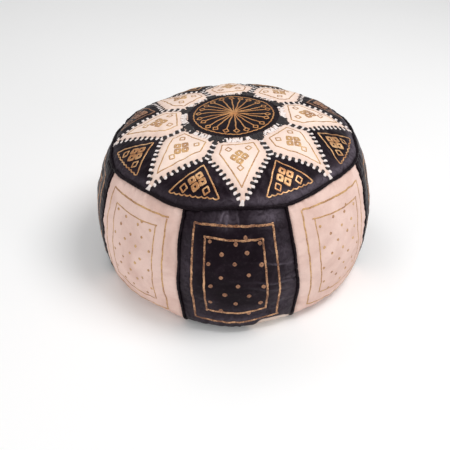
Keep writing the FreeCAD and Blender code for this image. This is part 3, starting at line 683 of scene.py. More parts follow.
def make_side_panel(i, look, slot):
    """One side panel, from under the top welt down to the seam of the base."""
    share = np.linspace(0, 1, PANEL_ROWS)[:, None]
    spread = np.linspace(-1, 1, PANEL_COLUMNS)[None]
    foot = hem(i * STEP + spread * STEP / 2) - 0.3 * MM
    s = S_SEAM + PANEL_EDGE + share * (foot - S_SEAM - PANEL_EDGE)
    radius = np.interp(s, ALONG, OUTLINE[:, 0])
    theta = i * STEP + spread * (STEP / 2 - PANEL_EDGE / radius)
    gap = np.abs(side_seam_distance(theta, s)[0])
    edge = np.minimum(gap, s - S_SEAM)
    pile = Pile()
    faces = strip_faces(PANEL_ROWS, PANEL_COLUMNS)[:, ::-1]
    # The last amounts are the painted sheen of the black leather.
    pile.add(skin(theta, s), faces, edge / MM, bloom(theta, s))
    name = f"side_panel_{i + 1}"
    pile.build(f"{name}_leather", look, slot, [name], LEATHER)


# ---------- welts


CORD_SIDES = 14


def tube_rings(centres, outward, radius):
    """Rings of a round cord along a line of centres; outward is a rough normal of it."""
    along = np.gradient(centres, axis=0)
    along /= norm(along, axis=1)[:, None]
    side = np.cross(along, outward)
    side /= norm(side, axis=1)[:, None]
    up = np.cross(side, along)
    angles = all_round(CORD_SIDES)
    around = side[:, None] * np.cos(angles)[:, None] + up[:, None] * np.sin(angles)[:, None]
    return centres[:, None] + around * np.reshape(radius, (-1, 1, 1))


WELT = 2.2 * MM
WELT_FOOT = 2.5 * MM       # height at which a side welt ends
WELT_PITCH = 1.6 * MM      # between its rings
WELT_PROUD = 0.9 * MM      # its middle over the leather
TOP_WELT_PROUD = 1.4 * MM
TOP_WELT_RINGS = 900


def cord_wrinkles(along, seed):
    """How the leather round a cord swells and nips along its length."""
    nips = np.clip(ripple(along, 9 * MM, seed), -0.2, 2)
    return 1 + 0.05 * ripple(along, 30 * MM, seed + 1) - 0.07 * nips


def make_side_welt(k, look):
    theta = (k + 0.5) * STEP
    s = np.arange(S_SEAM + PANEL_EDGE, s_of_height(WELT_FOOT), WELT_PITCH)
    wander = 0.5 * MM * ripple(s, 60 * MM, 40 + k) / BELLY
    centres = skin(theta + wander, s, WELT_PROUD)
    outward = sample(NORMALS, np.full_like(s, theta), s)
    pile = Pile()
    add_tube(pile, tube_rings(centres, outward, WELT * cord_wrinkles(s, 60 + k)))
    name = f"side_welt_{k + 1}"
    pile.build(f"{name}_cord", look, "welt_black", [name])


def make_top_welt(look):
    theta = all_round(TOP_WELT_RINGS)
    girth = theta * SEAM_RADIUS
    wander = 0.35 * MM * np.sin(theta * 31 + 2 * np.sin(theta * 5))
    centres = skin(theta, S_SEAM + wander, TOP_WELT_PROUD)
    outward = sample(NORMALS, theta, np.full(TOP_WELT_RINGS, S_SEAM))
    pile = Pile()
    rings = tube_rings(centres, outward, RING_WELT * cord_wrinkles(girth, 80))
    rings[0] = rings[-1] = (rings[1] + rings[-2]) / 2
    add_tube(pile, rings, closed=True)
    pile.build("top_welt_cord", look, "welt_black", ["top_welt"])


# ---------- gilding

GILT = 0.3 * MM         # how far the gilding stands on the leather


def star_chart(turn):
    """Plan coordinates of a sector: u across it, v out from the axis, both in mm."""
    def place(u, v, lift):
        outward, across = polar(1.0, turn), polar(1.0, turn + pi / 2)
        points = (v[..., None] * outward + u[..., None] * across) * MM
        return on_top(points, lift)
    return place


def side_chart(turn):
    """Coordinates on a side panel: u across it at the belly, v up from the floor, both in mm."""
    def place(u, v, lift):
        theta = turn + u * MM / BELLY
        return skin(theta, s_of_height(v * MM), lift)
    return place


def add_ribbon(pile, place, points, width, seed, closed=False, pitch=2.0, wobble=0.16):
    """A line of gilding along points of a chart, a little uneven in width and course."""
    line = densify(points, pitch, closed)
    if len(line) < 3:
        line = densify(points, pitch / 3, closed)
    if closed:
        ahead, behind = np.roll(line, -1, 0), np.roll(line, 1, 0)
    else:
        ahead = np.concatenate([line[1:], line[-1:]])
        behind = np.concatenate([line[:1], line[:-1]])
    run = ahead - behind
    run /= np.maximum(norm(run, axis=1), 1e-9)[:, None]
    side = np.stack([-run[:, 1], run[:, 0]], 1)
    along = np.concatenate([[0], np.cumsum(norm(np.diff(line, axis=0), axis=1))])
    line = line + side * (wobble * ripple(along, 21.0, seed))[:, None]
    widths = width * (1 + 0.08 * ripple(along, 9.0, seed + 1))
    across = np.array([-0.5, -0.46, -0.2, 0.2, 0.46, 0.5])
    lifts = np.array([-0.3, 0.8, 1.0, 1.0, 0.8, -0.3]) * GILT
    u = line[:, None, 0] + side[:, None, 0] * across * widths[:, None]
    v = line[:, None, 1] + side[:, None, 1] * across * widths[:, None]
    add_tube(pile, place(u, v, np.broadcast_to(lifts, u.shape)), closed)


def add_spot(pile, place, u, v, outline, height=GILT):
    """A flat shape of gilding: its outline in mm round a place of a chart."""
    outline = np.asarray(outline)
    shares = np.array([1.0, 0.93, 0.5])
    lifts = np.array([-0.3, 0.85, 1.0]) * height
    us, vs = u + outline[:, 0] * shares[:, None], v + outline[:, 1] * shares[:, None]
    rows, columns = us.shape
    base = pile.count
    rings = place(us, vs, np.broadcast_to(lifts[:, None], us.shape))
    pile.add(rings, strip_faces(rows, columns, closed_columns=True))
    centre = place(np.array([float(u)]), np.array([float(v)]), np.array([height]))
    pile.add(centre, NO_FACES)
    last = base + (rows - 1) * columns
    tip = base + rows * columns
    pile.faces.extend([[last + k, last + (k + 1) % columns, tip] for k in range(columns)])
    pile.faces.append([base + k for k in reversed(range(columns))])


def round_outline(radius, seed, sides, uneven, squareness=0.0):
    """A circle that is uneven, and somewhat a diamond."""
    angles = all_round(sides)
    reach = radius * (1 + squareness * np.cos(4 * angles)) * (1 + uneven * ripple(angles, 1.6, seed))
    return np.stack([np.cos(angles) * reach, np.sin(angles) * reach], 1)


def diamond(u, v, half_width, half_height, lean=0.0):
    """The four corners of an upright diamond, leant over by an angle."""
    corners = np.array([(0, half_height), (half_width, 0), (0, -half_height), (-half_width, 0)])
    turn = np.array([[cos(lean), -sin(lean)], [sin(lean), cos(lean)]])
    return corners @ turn.T + (u, v)


def add_open_diamond(pile, place, u, v, half, width, seed, lean=0.0):
    add_ribbon(pile, place, diamond(u, v, half, half * 1.05, lean), width, seed, closed=True,
               pitch=1.6, wobble=0.08)


def add_flower(pile, place, v, reach, half, width, seed):
    """Four petals, each a diamond with an eye left open in it."""
    for k, (du, dv) in enumerate(((0, 1), (1, 0), (0, -1), (-1, 0))):
        lean = 0.12 * sin(seed + 2.1 * k)
        u0, v0 = du * reach, v + dv * reach
        add_open_diamond(pile, place, u0, v0, half, width, seed + 11 * k, lean)


# The gilding of a kite, a gusset and the medallion, in mm: places are across and out from the axis.
KITE_FRAME = ((-22, 88), (-28.5, 106.5), (0, 167), (28.5, 106.5), (22, 88))
KITE_DIAMONDS = ((-14.4, 99.5), (14.4, 99.5), (0, 136.5))
KITE_LINE = 1.9
GUSSET_HALF, GUSSET_FOOT, GUSSET_POINT = 37, 177.0, 134.5
GUSSET_DIAMOND = (16.4, 170.3)
GUSSET_LINE = 2.2
SCALLOPS, SCALLOP = 9, 1.5      # how many, and how deep
RING_RADIUS, RING_WAVE, RING_LINE = 62, 0.9, 2.0
RAYS, RAY_REACH, RAY_LINE = 22, 49.5, 2.1


def gild_kite(pile, i):
    place = star_chart(star_angle(i))
    seed = 100 + 30 * i
    jitter = np.random.default_rng(seed).normal(scale=0.7, size=(5, 2))
    add_ribbon(pile, place, np.array(KITE_FRAME) + jitter, KITE_LINE, seed, closed=True)
    for k, (u, v) in enumerate(KITE_DIAMONDS):
        add_open_diamond(pile, place, u, v, 4.7, KITE_LINE, seed + k, 0.1 * sin(seed + k))
    add_flower(pile, place, 116.5, 7.9, 4.5, 4.0, seed + 5)


def gild_gusset(pile, i):
    place = star_chart(star_angle(i + 0.5))
    seed = 400 + 30 * i
    rise = np.array([(-GUSSET_HALF, GUSSET_FOOT), (0, GUSSET_POINT), (GUSSET_HALF, GUSSET_FOOT)])
    add_ribbon(pile, place, rise, GUSSET_LINE, seed)
    u = np.linspace(-GUSSET_HALF, GUSSET_HALF, SCALLOPS * 6 + 1)
    scallops = SCALLOP * np.abs(np.sin(np.linspace(0, SCALLOPS * pi, len(u))))
    v = GUSSET_FOOT + 1 + scallops - 0.0011 * u**2
    add_ribbon(pile, place, np.stack([u, v], 1), 1.6, seed + 1, pitch=1.4, wobble=0.1)
    for k, side in enumerate((-1, 1)):
        u, v = side * GUSSET_DIAMOND[0], GUSSET_DIAMOND[1]
        add_open_diamond(pile, place, u, v, 5.1, GUSSET_LINE, seed + 2 + k, 0.08 * side)
    add_flower(pile, place, 160.0, 7.7, 4.5, 3.9, seed + 6)


def gild_medallion(pile):
    place = star_chart(STAR_TURN)
    angles = all_round(RAYS * 12)
    radius = RING_RADIUS + RING_WAVE * np.abs(np.sin(angles * RAYS))
    ring = np.stack([radius * np.sin(angles), radius * np.cos(angles)], 1)
    add_ribbon(pile, place, ring, RING_LINE, 700, closed=True, pitch=1.2, wobble=0.12)
    random = np.random.default_rng(701)
    for k in range(RAYS):
        angle = 2 * pi * (k + random.normal(scale=0.07)) / RAYS
        reach = RAY_REACH + random.normal(scale=0.8)
        out = np.array([sin(angle), cos(angle)])
        start = out * 1.5 + random.normal(scale=1.2, size=2)
        add_ribbon(pile, place, np.array([start, out * reach]), RAY_LINE, 710 + k, wobble=0.25)
        lean = -angle + random.normal(scale=0.12)
        u, v = out * (reach + 4.6)
        add_open_diamond(pile, place, u, v, 4.5, RING_LINE, 740 + k, lean)
    add_spot(pile, place, 0.0, 0.0, round_outline(6.0, 702, 28, 0.08), GILT * 1.4)


FRAME_HALF = 63.5        # of the outer frame on a side panel, in mm
FRAME_TOP, FRAME_FOOT = 181.5, 24.0
FRAME_STEP = 18.5        # from the outer frame to the inner one
FRAME_SAGS = (3.0, 0, 5.5, 0)     # of the top, the right, the foot and the left of a frame
DOT_ROWS = 8
DOT_MARGIN = 8.0         # from the inner frame to the outermost dots
DOT = 3.3                # radius of a dot on black leather
PALE_DOT = DOT * 0.75

# How far each corner of a panel's frames is off its place, across and up in mm: both upper, both lower.
FRAME_SLIPS = {
    0: ((-4.0, 4.5), (-3.5, -1.0), (-4.0, 5.5), (-4.5, 3.5)),
    1: ((-2.5, 8.0), (0.0, 0.5), (0.0, 0.0), (-4.0, 3.0)),
    7: ((0.0, 3.0), (0.0, 3.0), (1.5, -3.0), (0.0, 0.0)),
}


def gild_frame(pile, place, corners, width, seed):
    """Four lines ruled by hand: they cross or fall short at the corners, and hang a little."""
    random = np.random.default_rng(seed)
    corners = corners + random.normal(scale=0.6, size=(4, 2))
    for j, sag in enumerate(FRAME_SAGS):
        start, end = corners[j], corners[(j + 1) % 4]
        run = (end - start) / norm(end - start)
        overrun = random.normal(scale=1.3, size=2) + 0.4
        start, end = start - run * overrun[0], end + run * overrun[1]
        share = np.linspace(0, 1, 13)[:, None]
        line = start + (end - start) * share
        line[:, 1] -= sag * np.sin(share[:, 0] * pi)
        add_ribbon(pile, place, line, width, seed + j)


def gild_dot(pile, place, u, v, size, seed):
    """A small round of gilding, with a bare middle if it is large."""
    random = np.random.default_rng(seed)
    radius = size * random.uniform(0.9, 1.08)
    outline = round_outline(radius, seed, 12, 0.07, 0.09)
    if size < DOT:
        add_spot(pile, place, u, v, outline)
    else:
        add_ribbon(pile, place, outline * 0.57 + (u, v), radius * 0.84, seed + 1, closed=True,
                   pitch=1.4, wobble=0.05)


def gild_panel(pile, dots, i, widths, dot, most):
    """Two frames, and rows of most dots and of one fewer in turn, on one side panel."""
    place = side_chart(i * STEP)
    seed = 900 + 60 * i
    random = np.random.default_rng(seed)
    slips = np.array(FRAME_SLIPS.get(i, random.normal(scale=1.5, size=(4, 2))))
    for k, (step, width) in enumerate(zip((0, FRAME_STEP), widths)):
        half, top, foot = FRAME_HALF - step, FRAME_TOP - step * 0.95, FRAME_FOOT + step * 0.85
        corners = np.array([(-half, top), (half, top), (half * 0.97, foot), (-half * 0.97, foot)])
        gild_frame(pile, place, corners + slips, width, seed + 10 * k)
    half, top, foot = half - DOT_MARGIN, top - DOT_MARGIN, foot - 1.0
    middle = slips.mean(0)
    for row in range(DOT_ROWS):
        v = top + (foot - top) * row / (DOT_ROWS - 1)
        across = np.linspace(-1, 1, most)
        if row % 2:
            across = (across[1:] + across[:-1]) / 2
        for k, share in enumerate(across):
            u, up = (half * share, v) + middle + random.normal(scale=1.9, size=2)
            gild_dot(dots, place, u, up, dot, seed + row * 5 + k)
    gild_dot(dots, place, half * 0.5 + middle[0], top + 6.5 + middle[1], dot, seed + 50)


# ---------- lacing


THONG = 1.0 * MM

# Across a stitch: shares of its width, and its height over the leather in thicknesses of thong.
STITCH_SECTION = ((-0.5, 0.0), (-0.42, 0.6), (-0.16, 0.95), (0.16, 1.0), (0.42, 0.62), (0.5, 0.0),
                  (0.3, -0.4), (-0.3, -0.4))


def oval_profile(length, width, count=13):
    """Shares of the length of a stitch, and how wide it is there: its ends are round."""
    share = (1 - np.cos(np.linspace(0, pi, count))) / 2
    from_end = np.minimum(share, 1 - share) * length
    radius = min(width / 2, length / 2)
    inside = np.clip(1 - from_end / radius, 0, 1)
    return share, np.maximum(np.sqrt(1 - inside**2), 0.12)


def add_stitch(pile, start, end, width, seed, head=1.0):
    """A flat thong sewn over a seam from one point in plan to another, both ends going down.

    Head is how wide it is at its far end, as a share of its width.
    """
    run = end - start
    length = norm(run)
    run = run / length
    side = np.array([-run[1], run[0]])
    random = np.random.default_rng(seed)
    share, round_off = oval_profile(length, width)
    widths = width * round_off * (1 + (head - 1) * share)
    bend = random.normal(scale=0.3 * MM)
    middle = start + run * (share * length)[:, None] + side * (bend * np.sin(share * pi))[:, None]
    twist = random.normal(scale=0.08)
    around, rise = np.array(STITCH_SECTION).T[:, None]
    points = middle[:, None] + side * (around * widths[:, None])[..., None]
    bulge = rise * 0.6 * round_off[:, None] + around * twist
    add_tube(pile, on_top(points, (round_off[:, None] * 1.1 - 0.5 + bulge) * THONG))


STITCH_IN = 4.9 * MM      # how far a dark stitch reaches onto a kite
STITCH_OUT = 3.9 * MM     # how far a pale stitch reaches off it
STITCH_TAIL = 1.8 * MM    # how far a stitch reaches back past the seam
SHOULDER_REACH = 5.2      # of a bar to either side of the seam between two kites, in mm
SEAM_PAIRS = 9            # of stitches along one edge of a kite
SHOULDER_PAIRS = 4        # between two kites
LACING_ENDS = (3.0 * MM, 8.0 * MM)    # from the shoulder, and from the point of the kite


def lace_seam(pale, dark, start, end, pale_side, seed):
    """Pale and dark stitches in turn over one straight seam of a kite, leaning to its end."""
    run = (end - start) / norm(end - start)
    inward = np.array([-run[1], run[0]]) * pale_side
    random = np.random.default_rng(seed)
    count = 2 * SEAM_PAIRS
    pitch = norm(end - start) / count
    for k in range(count):
        at = start + run * pitch * (k + 0.5 + random.normal(scale=0.06))
        lean = run * (0.9 + random.normal(scale=0.5)) * MM
        is_dark = k % 2 == 0
        way = inward if is_dark else -inward
        reach = (STITCH_IN if is_dark else STITCH_OUT) * random.uniform(0.88, 1.1)
        width = pitch * random.uniform(0.86, 0.98)
        tail = at - way * STITCH_TAIL - lean * (0.3 if is_dark else -0.3)
        tip = at + way * reach + lean * (1 if is_dark else -1)
        add_stitch(dark if is_dark else pale, tail, tip, width, seed * 40 + k, 1.12)


def lace_shoulder(pale, dark, inner, outer, seed):
    """Broad dark bars over the seam that two kites share, the pale thong showing between them."""
    run = (outer - inner) / norm(outer - inner)
    normal = np.array([-run[1], run[0]])
    random = np.random.default_rng(seed)
    pitch = norm(outer - inner) / SHOULDER_PAIRS
    for k in range(SHOULDER_PAIRS):
        at = inner + run * pitch * (k + 0.5 + random.normal(scale=0.05))
        lean = run * (1.3 + random.normal(scale=0.3)) * MM
        reach = normal * (SHOULDER_REACH + random.normal(scale=0.4)) * MM
        add_stitch(dark, at - reach - lean, at + reach + lean, 0.6 * pitch, seed * 40 + k)
        gap = at + run * pitch * 0.5
        reach = reach * 0.8
        add_stitch(pale, gap - reach - lean, gap + reach + lean, 0.36 * pitch, seed * 40 + 9 + k)


# The pale tab at the point of a kite, wider towards the welt: across and out from the axis, in mm.
TAB = ((-1.9, 183.5), (1.9, 183.5), (4.3, 191.9), (-4.3, 191.9))


def patch_tip(pale, i):
    outline = densify(TAB, 1.5)
    centre = outline.mean(0)
    add_spot(pale, star_chart(star_angle(i)), *centre, outline - centre, 1.1 * MM)


def lace_star(i, looks):
    """The lacing of the shoulder between two kites: the seam they share, and one edge of each."""
    turn = star_angle(i + 0.5)
    shoulder = polar(KITE_SHOULDER, turn)
    pale, dark = Pile(), Pile()
    for side in (-1, 1):
        tip = polar(KITE_TIP, turn + side * STEP / 2)
        away = (tip - shoulder) / norm(tip - shoulder)
        start, end = shoulder + away * LACING_ENDS[0], tip - away * LACING_ENDS[1]
        lace_seam(pale, dark, start, end, side, 20 * i + side + 3)
    inner = polar(KITE_START + 1 * MM, turn)
    out = (shoulder - inner) / norm(shoulder - inner)
    lace_shoulder(pale, dark, inner, shoulder + out * 1.0 * MM, 20 * i + 9)
    patch_tip(pale, i)
    name = f"star_lacing_{i + 1}"
    pale.build(f"{name}_pale", looks["pale_thong"], "lacing_thong", [name])
    dark.build(f"{name}_dark", looks["dark_thong"], "leather_black")


CORNER_STITCHES = 5       # broad dark ones, where two kites meet at the medallion
KITE_STITCHES = 10        # narrow ones along the inner edge of a kite
DARK_SHARE = 0.18         # of those that are dark
DARK_ENDS, PALE_ENDS = (72.0, 79.5), (73.3, 82.5)     # distances from the axis, in mm


def lace_medallion(looks):
    """The stitches round the medallion: pale along the kites, broad dark ones where two kites meet."""
    random = np.random.default_rng(77)
    pale, dark = Pile(), Pile()
    for i in range(POINTS):
        corner = star_angle(i + 0.5)
        for k in range(CORNER_STITCHES):
            angle = corner + (k - 2) * 0.062 + random.normal(scale=0.01)
            outer = 88.0 - 2.4 * abs(k - 2) + random.normal(scale=1.8)
            skew = 0.03 * (k - 2) + random.normal(scale=0.02)
            add_stitch(dark, polar(71 * MM, angle - skew), polar(outer * MM, angle + skew),
                       6.6 * MM * random.uniform(0.85, 1.15), 5000 + 10 * i + k)
        for k in range(KITE_STITCHES):
            angle = star_angle(i) + (k - (KITE_STITCHES - 1) / 2) * 0.053 + random.normal(scale=0.006)
            is_dark = random.random() < DARK_SHARE
            inner, outer = DARK_ENDS if is_dark else PALE_ENDS
            inner, outer = inner + random.normal(scale=0.9), outer + random.normal(scale=0.9)
            skew = random.normal(scale=0.02)
            add_stitch(dark if is_dark else pale, polar(inner * MM, angle - skew),
                       polar(outer * MM, angle + skew), 4.4 * MM * random.uniform(0.8, 1.15),
                       6000 + 20 * i + k)
    pale.build("medallion_lacing_pale", looks["pale_thong"], "lacing_thong", ["medallion_lacing"])
    dark.build("medallion_lacing_dark", looks["dark_thong"], "leather_black")


# ---------- underneath and inside

RECESS_OUTER = 128 * MM
RECESS_INNER = 105 * MM
RECESS = 7.5 * MM
SLOT_HALF = 103 * MM      # of the length of the opening for the zip
SLOT_SIDE = 7 * MM        # and of its width
SLOT_END = 15 * MM        # over which it narrows to the seam
BASE_RINGS = 34
HEM_ROWS, HEM_COLUMNS = 9, 200
MIDDLE_EDGE = 40.0        # mm from the edge, said of the middle of a half
BASE_MIDDLE = 115 * MM    # from the zip to the middle of a half


def on_base(points):
    """The underside of the base over points in plan: a ring on the floor, its middle lifted."""
    radius = norm(points, axis=-1)
    share = np.clip((RECESS_OUTER - radius) / (RECESS_OUTER - RECESS_INNER), 0, 1)
    lift = RECESS * share**2 * (3 - 2 * share)
    flat = np.concatenate([points, np.zeros(points.shape[:-1] + (1,))], -1)
    lumps = noise(flat, 46 * MM, 12) * 0.35 * MM
    angle = np.arctan2(points[..., 1], points[..., 0])
    pleats = ripple(angle * BASE_RADIUS, 13 * MM, 13) * 0.5 * MM * bell(BASE_RADIUS - radius, 16 * MM)
    near_zip = np.clip((np.abs(points[..., 1]) - SLOT_SIDE) / (12 * MM), 0, 1)
    height = np.maximum(lift + (lumps + pleats) * near_zip, 0)
    return np.concatenate([points, height[..., None]], -1)


def make_base_half(name, side, look):
    """Half of the round base, with what of it comes up round the foot of the side.

    Its straight edge is cut back to let the zip through.
    """
    seam = 0.2 * MM
    rim = BASE_RADIUS - 0.3 * MM
    arc = np.linspace(0.0, pi, 130)
    curve = np.stack([rim * np.cos(arc), np.maximum(rim * np.sin(arc), seam)], 1)
    opening = SLOT_HALF + SLOT_END
    straight = densify([(-rim, seam), (-opening, seam), (-SLOT_HALF, SLOT_SIDE),
                        (SLOT_HALF, SLOT_SIDE), (opening, seam), (rim, seam)],
                       3 * MM, closed=False)
    outline = np.concatenate([curve, straight[1:-1]])
    points = disc_points(outline, np.array([0.0, BASE_MIDDLE]), BASE_RINGS)
    points[..., 1] *= side
    pile = Pile()
    edge = np.broadcast_to(np.linspace(MIDDLE_EDGE, 0, BASE_RINGS)[:, None], points.shape[:2])
    centre = on_base(np.array([[0.0, BASE_MIDDLE * side]]))
    pile.add(centre, NO_FACES, [MIDDLE_EDGE])
    faces = strip_faces(BASE_RINGS, len(outline), closed_columns=True)
    pile.add(on_base(points), faces if side > 0 else faces[:, ::-1], edge)
    fan = [[0, 1 + (k + 1) % len(outline), 1 + k] for k in range(len(outline))]
    pile.faces.extend(fan if side > 0 else [face[::-1] for face in fan])
    theta = (0 if side < 0 else pi) + np.linspace(-0.5, 0.5, HEM_COLUMNS)[None] * pi
    s = hem(theta) + (S_END - hem(theta)) * np.linspace(0, 1, HEM_ROWS)[:, None]
    theta = np.broadcast_to(theta, s.shape)
    faces = strip_faces(HEM_ROWS, HEM_COLUMNS)[:, ::-1]
    pile.add(skin(theta, s), faces, (s - hem(theta)) / MM)
    pile.build(f"{name}_leather", look, "leather_base", [name], LEATHER)


BAG_ROWS, BAG_COLUMNS = 110, 180
BAG_STOP = 20 * MM        # short of the seam of the base, where its floor turns in
BACKING_DEPTH = 2.6 * MM
BACKING_RINGS = 40


def make_bag(name, node, depth, rise, look, slot):
    """A closed bag that follows the cover from inside, its floor lifted clear of the zip."""
    s = np.linspace(0, S_END - BAG_STOP, BAG_ROWS)[:, None]
    theta = all_round(BAG_COLUMNS)[None]
    s, theta = np.broadcast_arrays(s, theta)
    normals = sample(NORMALS, theta, s)
    places = sample(GRID, theta, s) - normals * depth
    sag = 2 * MM + 1.2 * MM * np.abs(noise(places, 50 * MM, 21))
    places = places - normals * sag[..., None]
    places[..., 2] = np.maximum(places[..., 2], depth)
    floor = places[-1] * (1, 1, 0) * 0.8 + (0, 0, rise)
    inner = places[-1] * (1, 1, 0) * 0.05 + (0, 0, rise)
    rings = np.concatenate([places[1:], floor[None], inner[None]])
    pile = Pile()
    add_tube(pile, rings[:, ::-1])
    return pile.build(name, look, slot, [node])


def make_backing(look):
    """The cloth sewn behind the star."""
    outline = polar(SEAM_RADIUS - 4 * MM, all_round(BAG_COLUMNS))

    def place(points):
        return on_top(points, -BACKING_DEPTH)

    leather_disc("star_backing_cloth", outline, np.zeros(2), BACKING_RINGS, place, look,
                 "cotton_lining", ["star_backing"])


# ---------- materials


class Look:
    """A material built of nodes round one shader."""

    def __init__(self, name):
        self.material = bpy.data.materials.new(name)
        self.material.use_nodes = True
        self.tree = self.material.node_tree
        self.shader = self.tree.nodes["Principled BSDF"]
        self.place = self.node("ShaderNodeTexCoord").outputs["Object"]

    def node(self, kind, inputs=None, **settings):
        node = self.tree.nodes.new(kind)
        for key, setting in settings.items():
            setattr(node, key, setting)
        for key, given in (inputs or {}).items():
            self.put(node.inputs[key], given)
        return node

    def put(self, socket, given):
        if isinstance(given, bpy.types.NodeSocket):
            self.tree.links.new(given, socket)
        else:
            socket.default_value = given

    def set(self, **inputs):
        for key, given in inputs.items():
            self.put(self.shader.inputs[key.replace("_", " ")], given)

    def noise(self, scale, detail=3.0, roughness=0.5, distortion=0.0):
        inputs = {"Vector": self.place, "Scale": scale, "Detail": detail,
                  "Roughness": roughness, "Distortion": distortion}
        return self.node("ShaderNodeTexNoise", inputs).outputs["Fac"]

    def cells(self, scale):
        inputs = {"Vector": self.place, "Scale": scale}
        return self.node("ShaderNodeTexVoronoi", inputs).outputs["Distance"]

    def ramp(self, factor, stops):
        """A run of colours over factor: pairs of place and colour."""
        node = self.node("ShaderNodeValToRGB", {"Fac": factor})
        points = node.color_ramp.elements
        while len(points) < len(stops):
            points.new(0.5)
        for point, (at, colour) in zip(points, stops):
            point.position = at
            point.color = (*colour, 1)
        return node.outputs["Color"]

    def spread(self, factor, low, high, start=0.0, end=1.0):
        """Factor from start to end brought to run from low to high."""
        inputs = {"Value": factor, "From Min": start, "From Max": end, "To Min": low, "To Max": high}
        return self.node("ShaderNodeMapRange", inputs).outputs["Result"]

    def mix(self, factor, first, second, blend="MIX"):
        node = self.node("ShaderNodeMix", data_type="RGBA", blend_type=blend)
        self.put(node.inputs[0], factor)
        self.put(node.inputs[6], first if isinstance(first, bpy.types.NodeSocket) else (*first, 1))
        self.put(node.inputs[7], second if isinstance(second, bpy.types.NodeSocket) else (*second, 1))
        return node.outputs[2]

    def maths(self, operation, first, second=0.0):
        node = self.node("ShaderNodeMath", operation=operation)
        self.put(node.inputs[0], first)
        self.put(node.inputs[1], second)
        return node.outputs[0]

    def attribute(self, name):
        return self.node("ShaderNodeAttribute", attribute_name=name).outputs["Fac"]

    def bump(self, height, strength, distance, below=None):
        inputs = {"Height": height, "Strength": strength, "Distance": distance}
        if below is not None:
            inputs["Normal"] = below
        return self.node("ShaderNodeBump", inputs).outputs["Normal"]


def leather_bumps(look, grain, strength):
    """Pebbled grain with finer pores in it, and long soft wrinkles."""
    soft = look.noise(55, 5, 0.6, 0.8)
    normal = look.bump(soft, 0.35 * strength, 1.2 * MM)
    pebbles = look.cells(grain)
    normal = look.bump(pebbles, 0.32 * strength, 0.22 * MM, normal)
    pores = look.noise(grain * 3.2, 2)
    return look.bump(pores, 0.2 * strength, 0.1 * MM, normal)


def black_leather(name, lift):
    """Polished black leather; lift is how pale its clouds are."""
    look = Look(name)
    clouds = look.noise(26, 7, 0.62, 0.9)
    colour = look.ramp(clouds, [
        (0.30, (0.0030 * lift, 0.0010 * lift, 0.0022 * lift)),
        (0.52, (0.0065 * lift, 0.0030 * lift, 0.0056 * lift)),
        (0.72, (0.020 * lift, 0.0125 * lift, 0.0175 * lift)),
    ])
    fine = look.noise(240, 4, 0.6)
    colour = look.mix(look.spread(fine, 0.0, 0.4, 0.55, 0.8), colour, (0.045, 0.032, 0.037))
    # Darker within 5 mm of its edges.
    colour_mask = look.spread(look.attribute("from_edge"), 0.35, 0.0, 0.0, 5.0)
    colour = look.mix(colour_mask, colour, (0.004, 0.0025, 0.003))
    # Painted sheen: the colour turns a lighter purple-grey where the mesh carries sheen, broken into
    # streaks.
    streaks = look.spread(look.noise(95, 6, 0.65, 1.4), 0.25, 1.0, 0.35, 0.65)
    painted_sheen_amount = look.maths("MULTIPLY", look.attribute("bloom"), streaks)
    colour = look.mix(look.spread(painted_sheen_amount, 0.0, 0.85), colour, (0.120, 0.098, 0.122))
    look.set(Base_Color=colour, Roughness=look.spread(clouds, 0.50, 0.33, 0.3, 0.75))
    look.set(Normal=leather_bumps(look, 620, 1.3), Specular_IOR_Level=0.11)
    look.set(Specular_Tint=(0.95, 0.78, 0.90, 1))
    return look.material


def pale_leather(name, tone, shade, strength, margin):
    """Vegetable-tanned leather of one tone, with clouds of another shade.

    Strength is that of its grain, and margin the width of its darker edge in mm.
    """
    look = Look(name)
    clouds = look.noise(14, 6, 0.6, 0.7)
    colour = look.mix(look.spread(clouds, 0.0, 1.0, 0.40, 0.68), tone, shade)
    specks = look.noise(310, 3, 0.6)
    darker = tuple(c * 0.86 for c in shade)
    colour = look.mix(look.spread(specks, 0.0, 0.30, 0.55, 0.8), colour, darker)
    # Darker and pinker within margin of its edges.
    colour_mask = look.spread(look.attribute("from_edge"), 0.55, 0.0, 0.0, margin)
    colour = look.mix(colour_mask, colour, tuple(c * k for c, k in zip(shade, (0.84, 0.74, 0.70))))
    look.set(Base_Color=colour, Roughness=look.spread(clouds, 0.55, 0.68))
    look.set(Normal=leather_bumps(look, 700, strength), Specular_IOR_Level=0.32)
    return look.material


def gilding(name, bright, dull, under, cover, metal):
    """Gold foil pressed into leather, rubbed off in places down to the colour under it.

    Cover is where in its noise it starts to be bare.
    """
    look = Look(name)
    rubbed = look.noise(700, 3, 0.7)
    patches = look.noise(48, 4, 0.6)
    speckle = look.maths("ADD", patches, look.maths("MULTIPLY", look.noise(420, 2, 0.6), 0.6))
    colour = look.mix(look.spread(speckle, 0.0, 1.0, 0.66, 0.94), bright, dull)
    bare = look.spread(look.maths("ADD", rubbed, look.maths("MULTIPLY", patches, 0.35)), 0.0, 1.0,
                       cover, cover + 0.10)
    colour = look.mix(bare, colour, under)
    look.set(Base_Color=colour, Metallic=look.spread(bare, metal, 0.0), Roughness=0.42)
    normal = look.bump(look.noise(900, 2), 0.5, 0.25 * MM)
    look.set(Normal=normal, Specular_IOR_Level=0.5)
    return look.material


def thong(name, light, dark, roughness):
    """Narrow leather lacing, streaked with a darker tone."""
    look = Look(name)
    streaks = look.noise(420, 4, 0.65)
    colour = look.mix(look.spread(streaks, 0.0, 1.0, 0.35, 0.75), light, dark)
    look.set(Base_Color=colour, Roughness=roughness)
    look.set(Normal=look.bump(look.noise(1300, 2), 0.4, 0.2 * MM), Specular_IOR_Level=0.35)
    return look.material


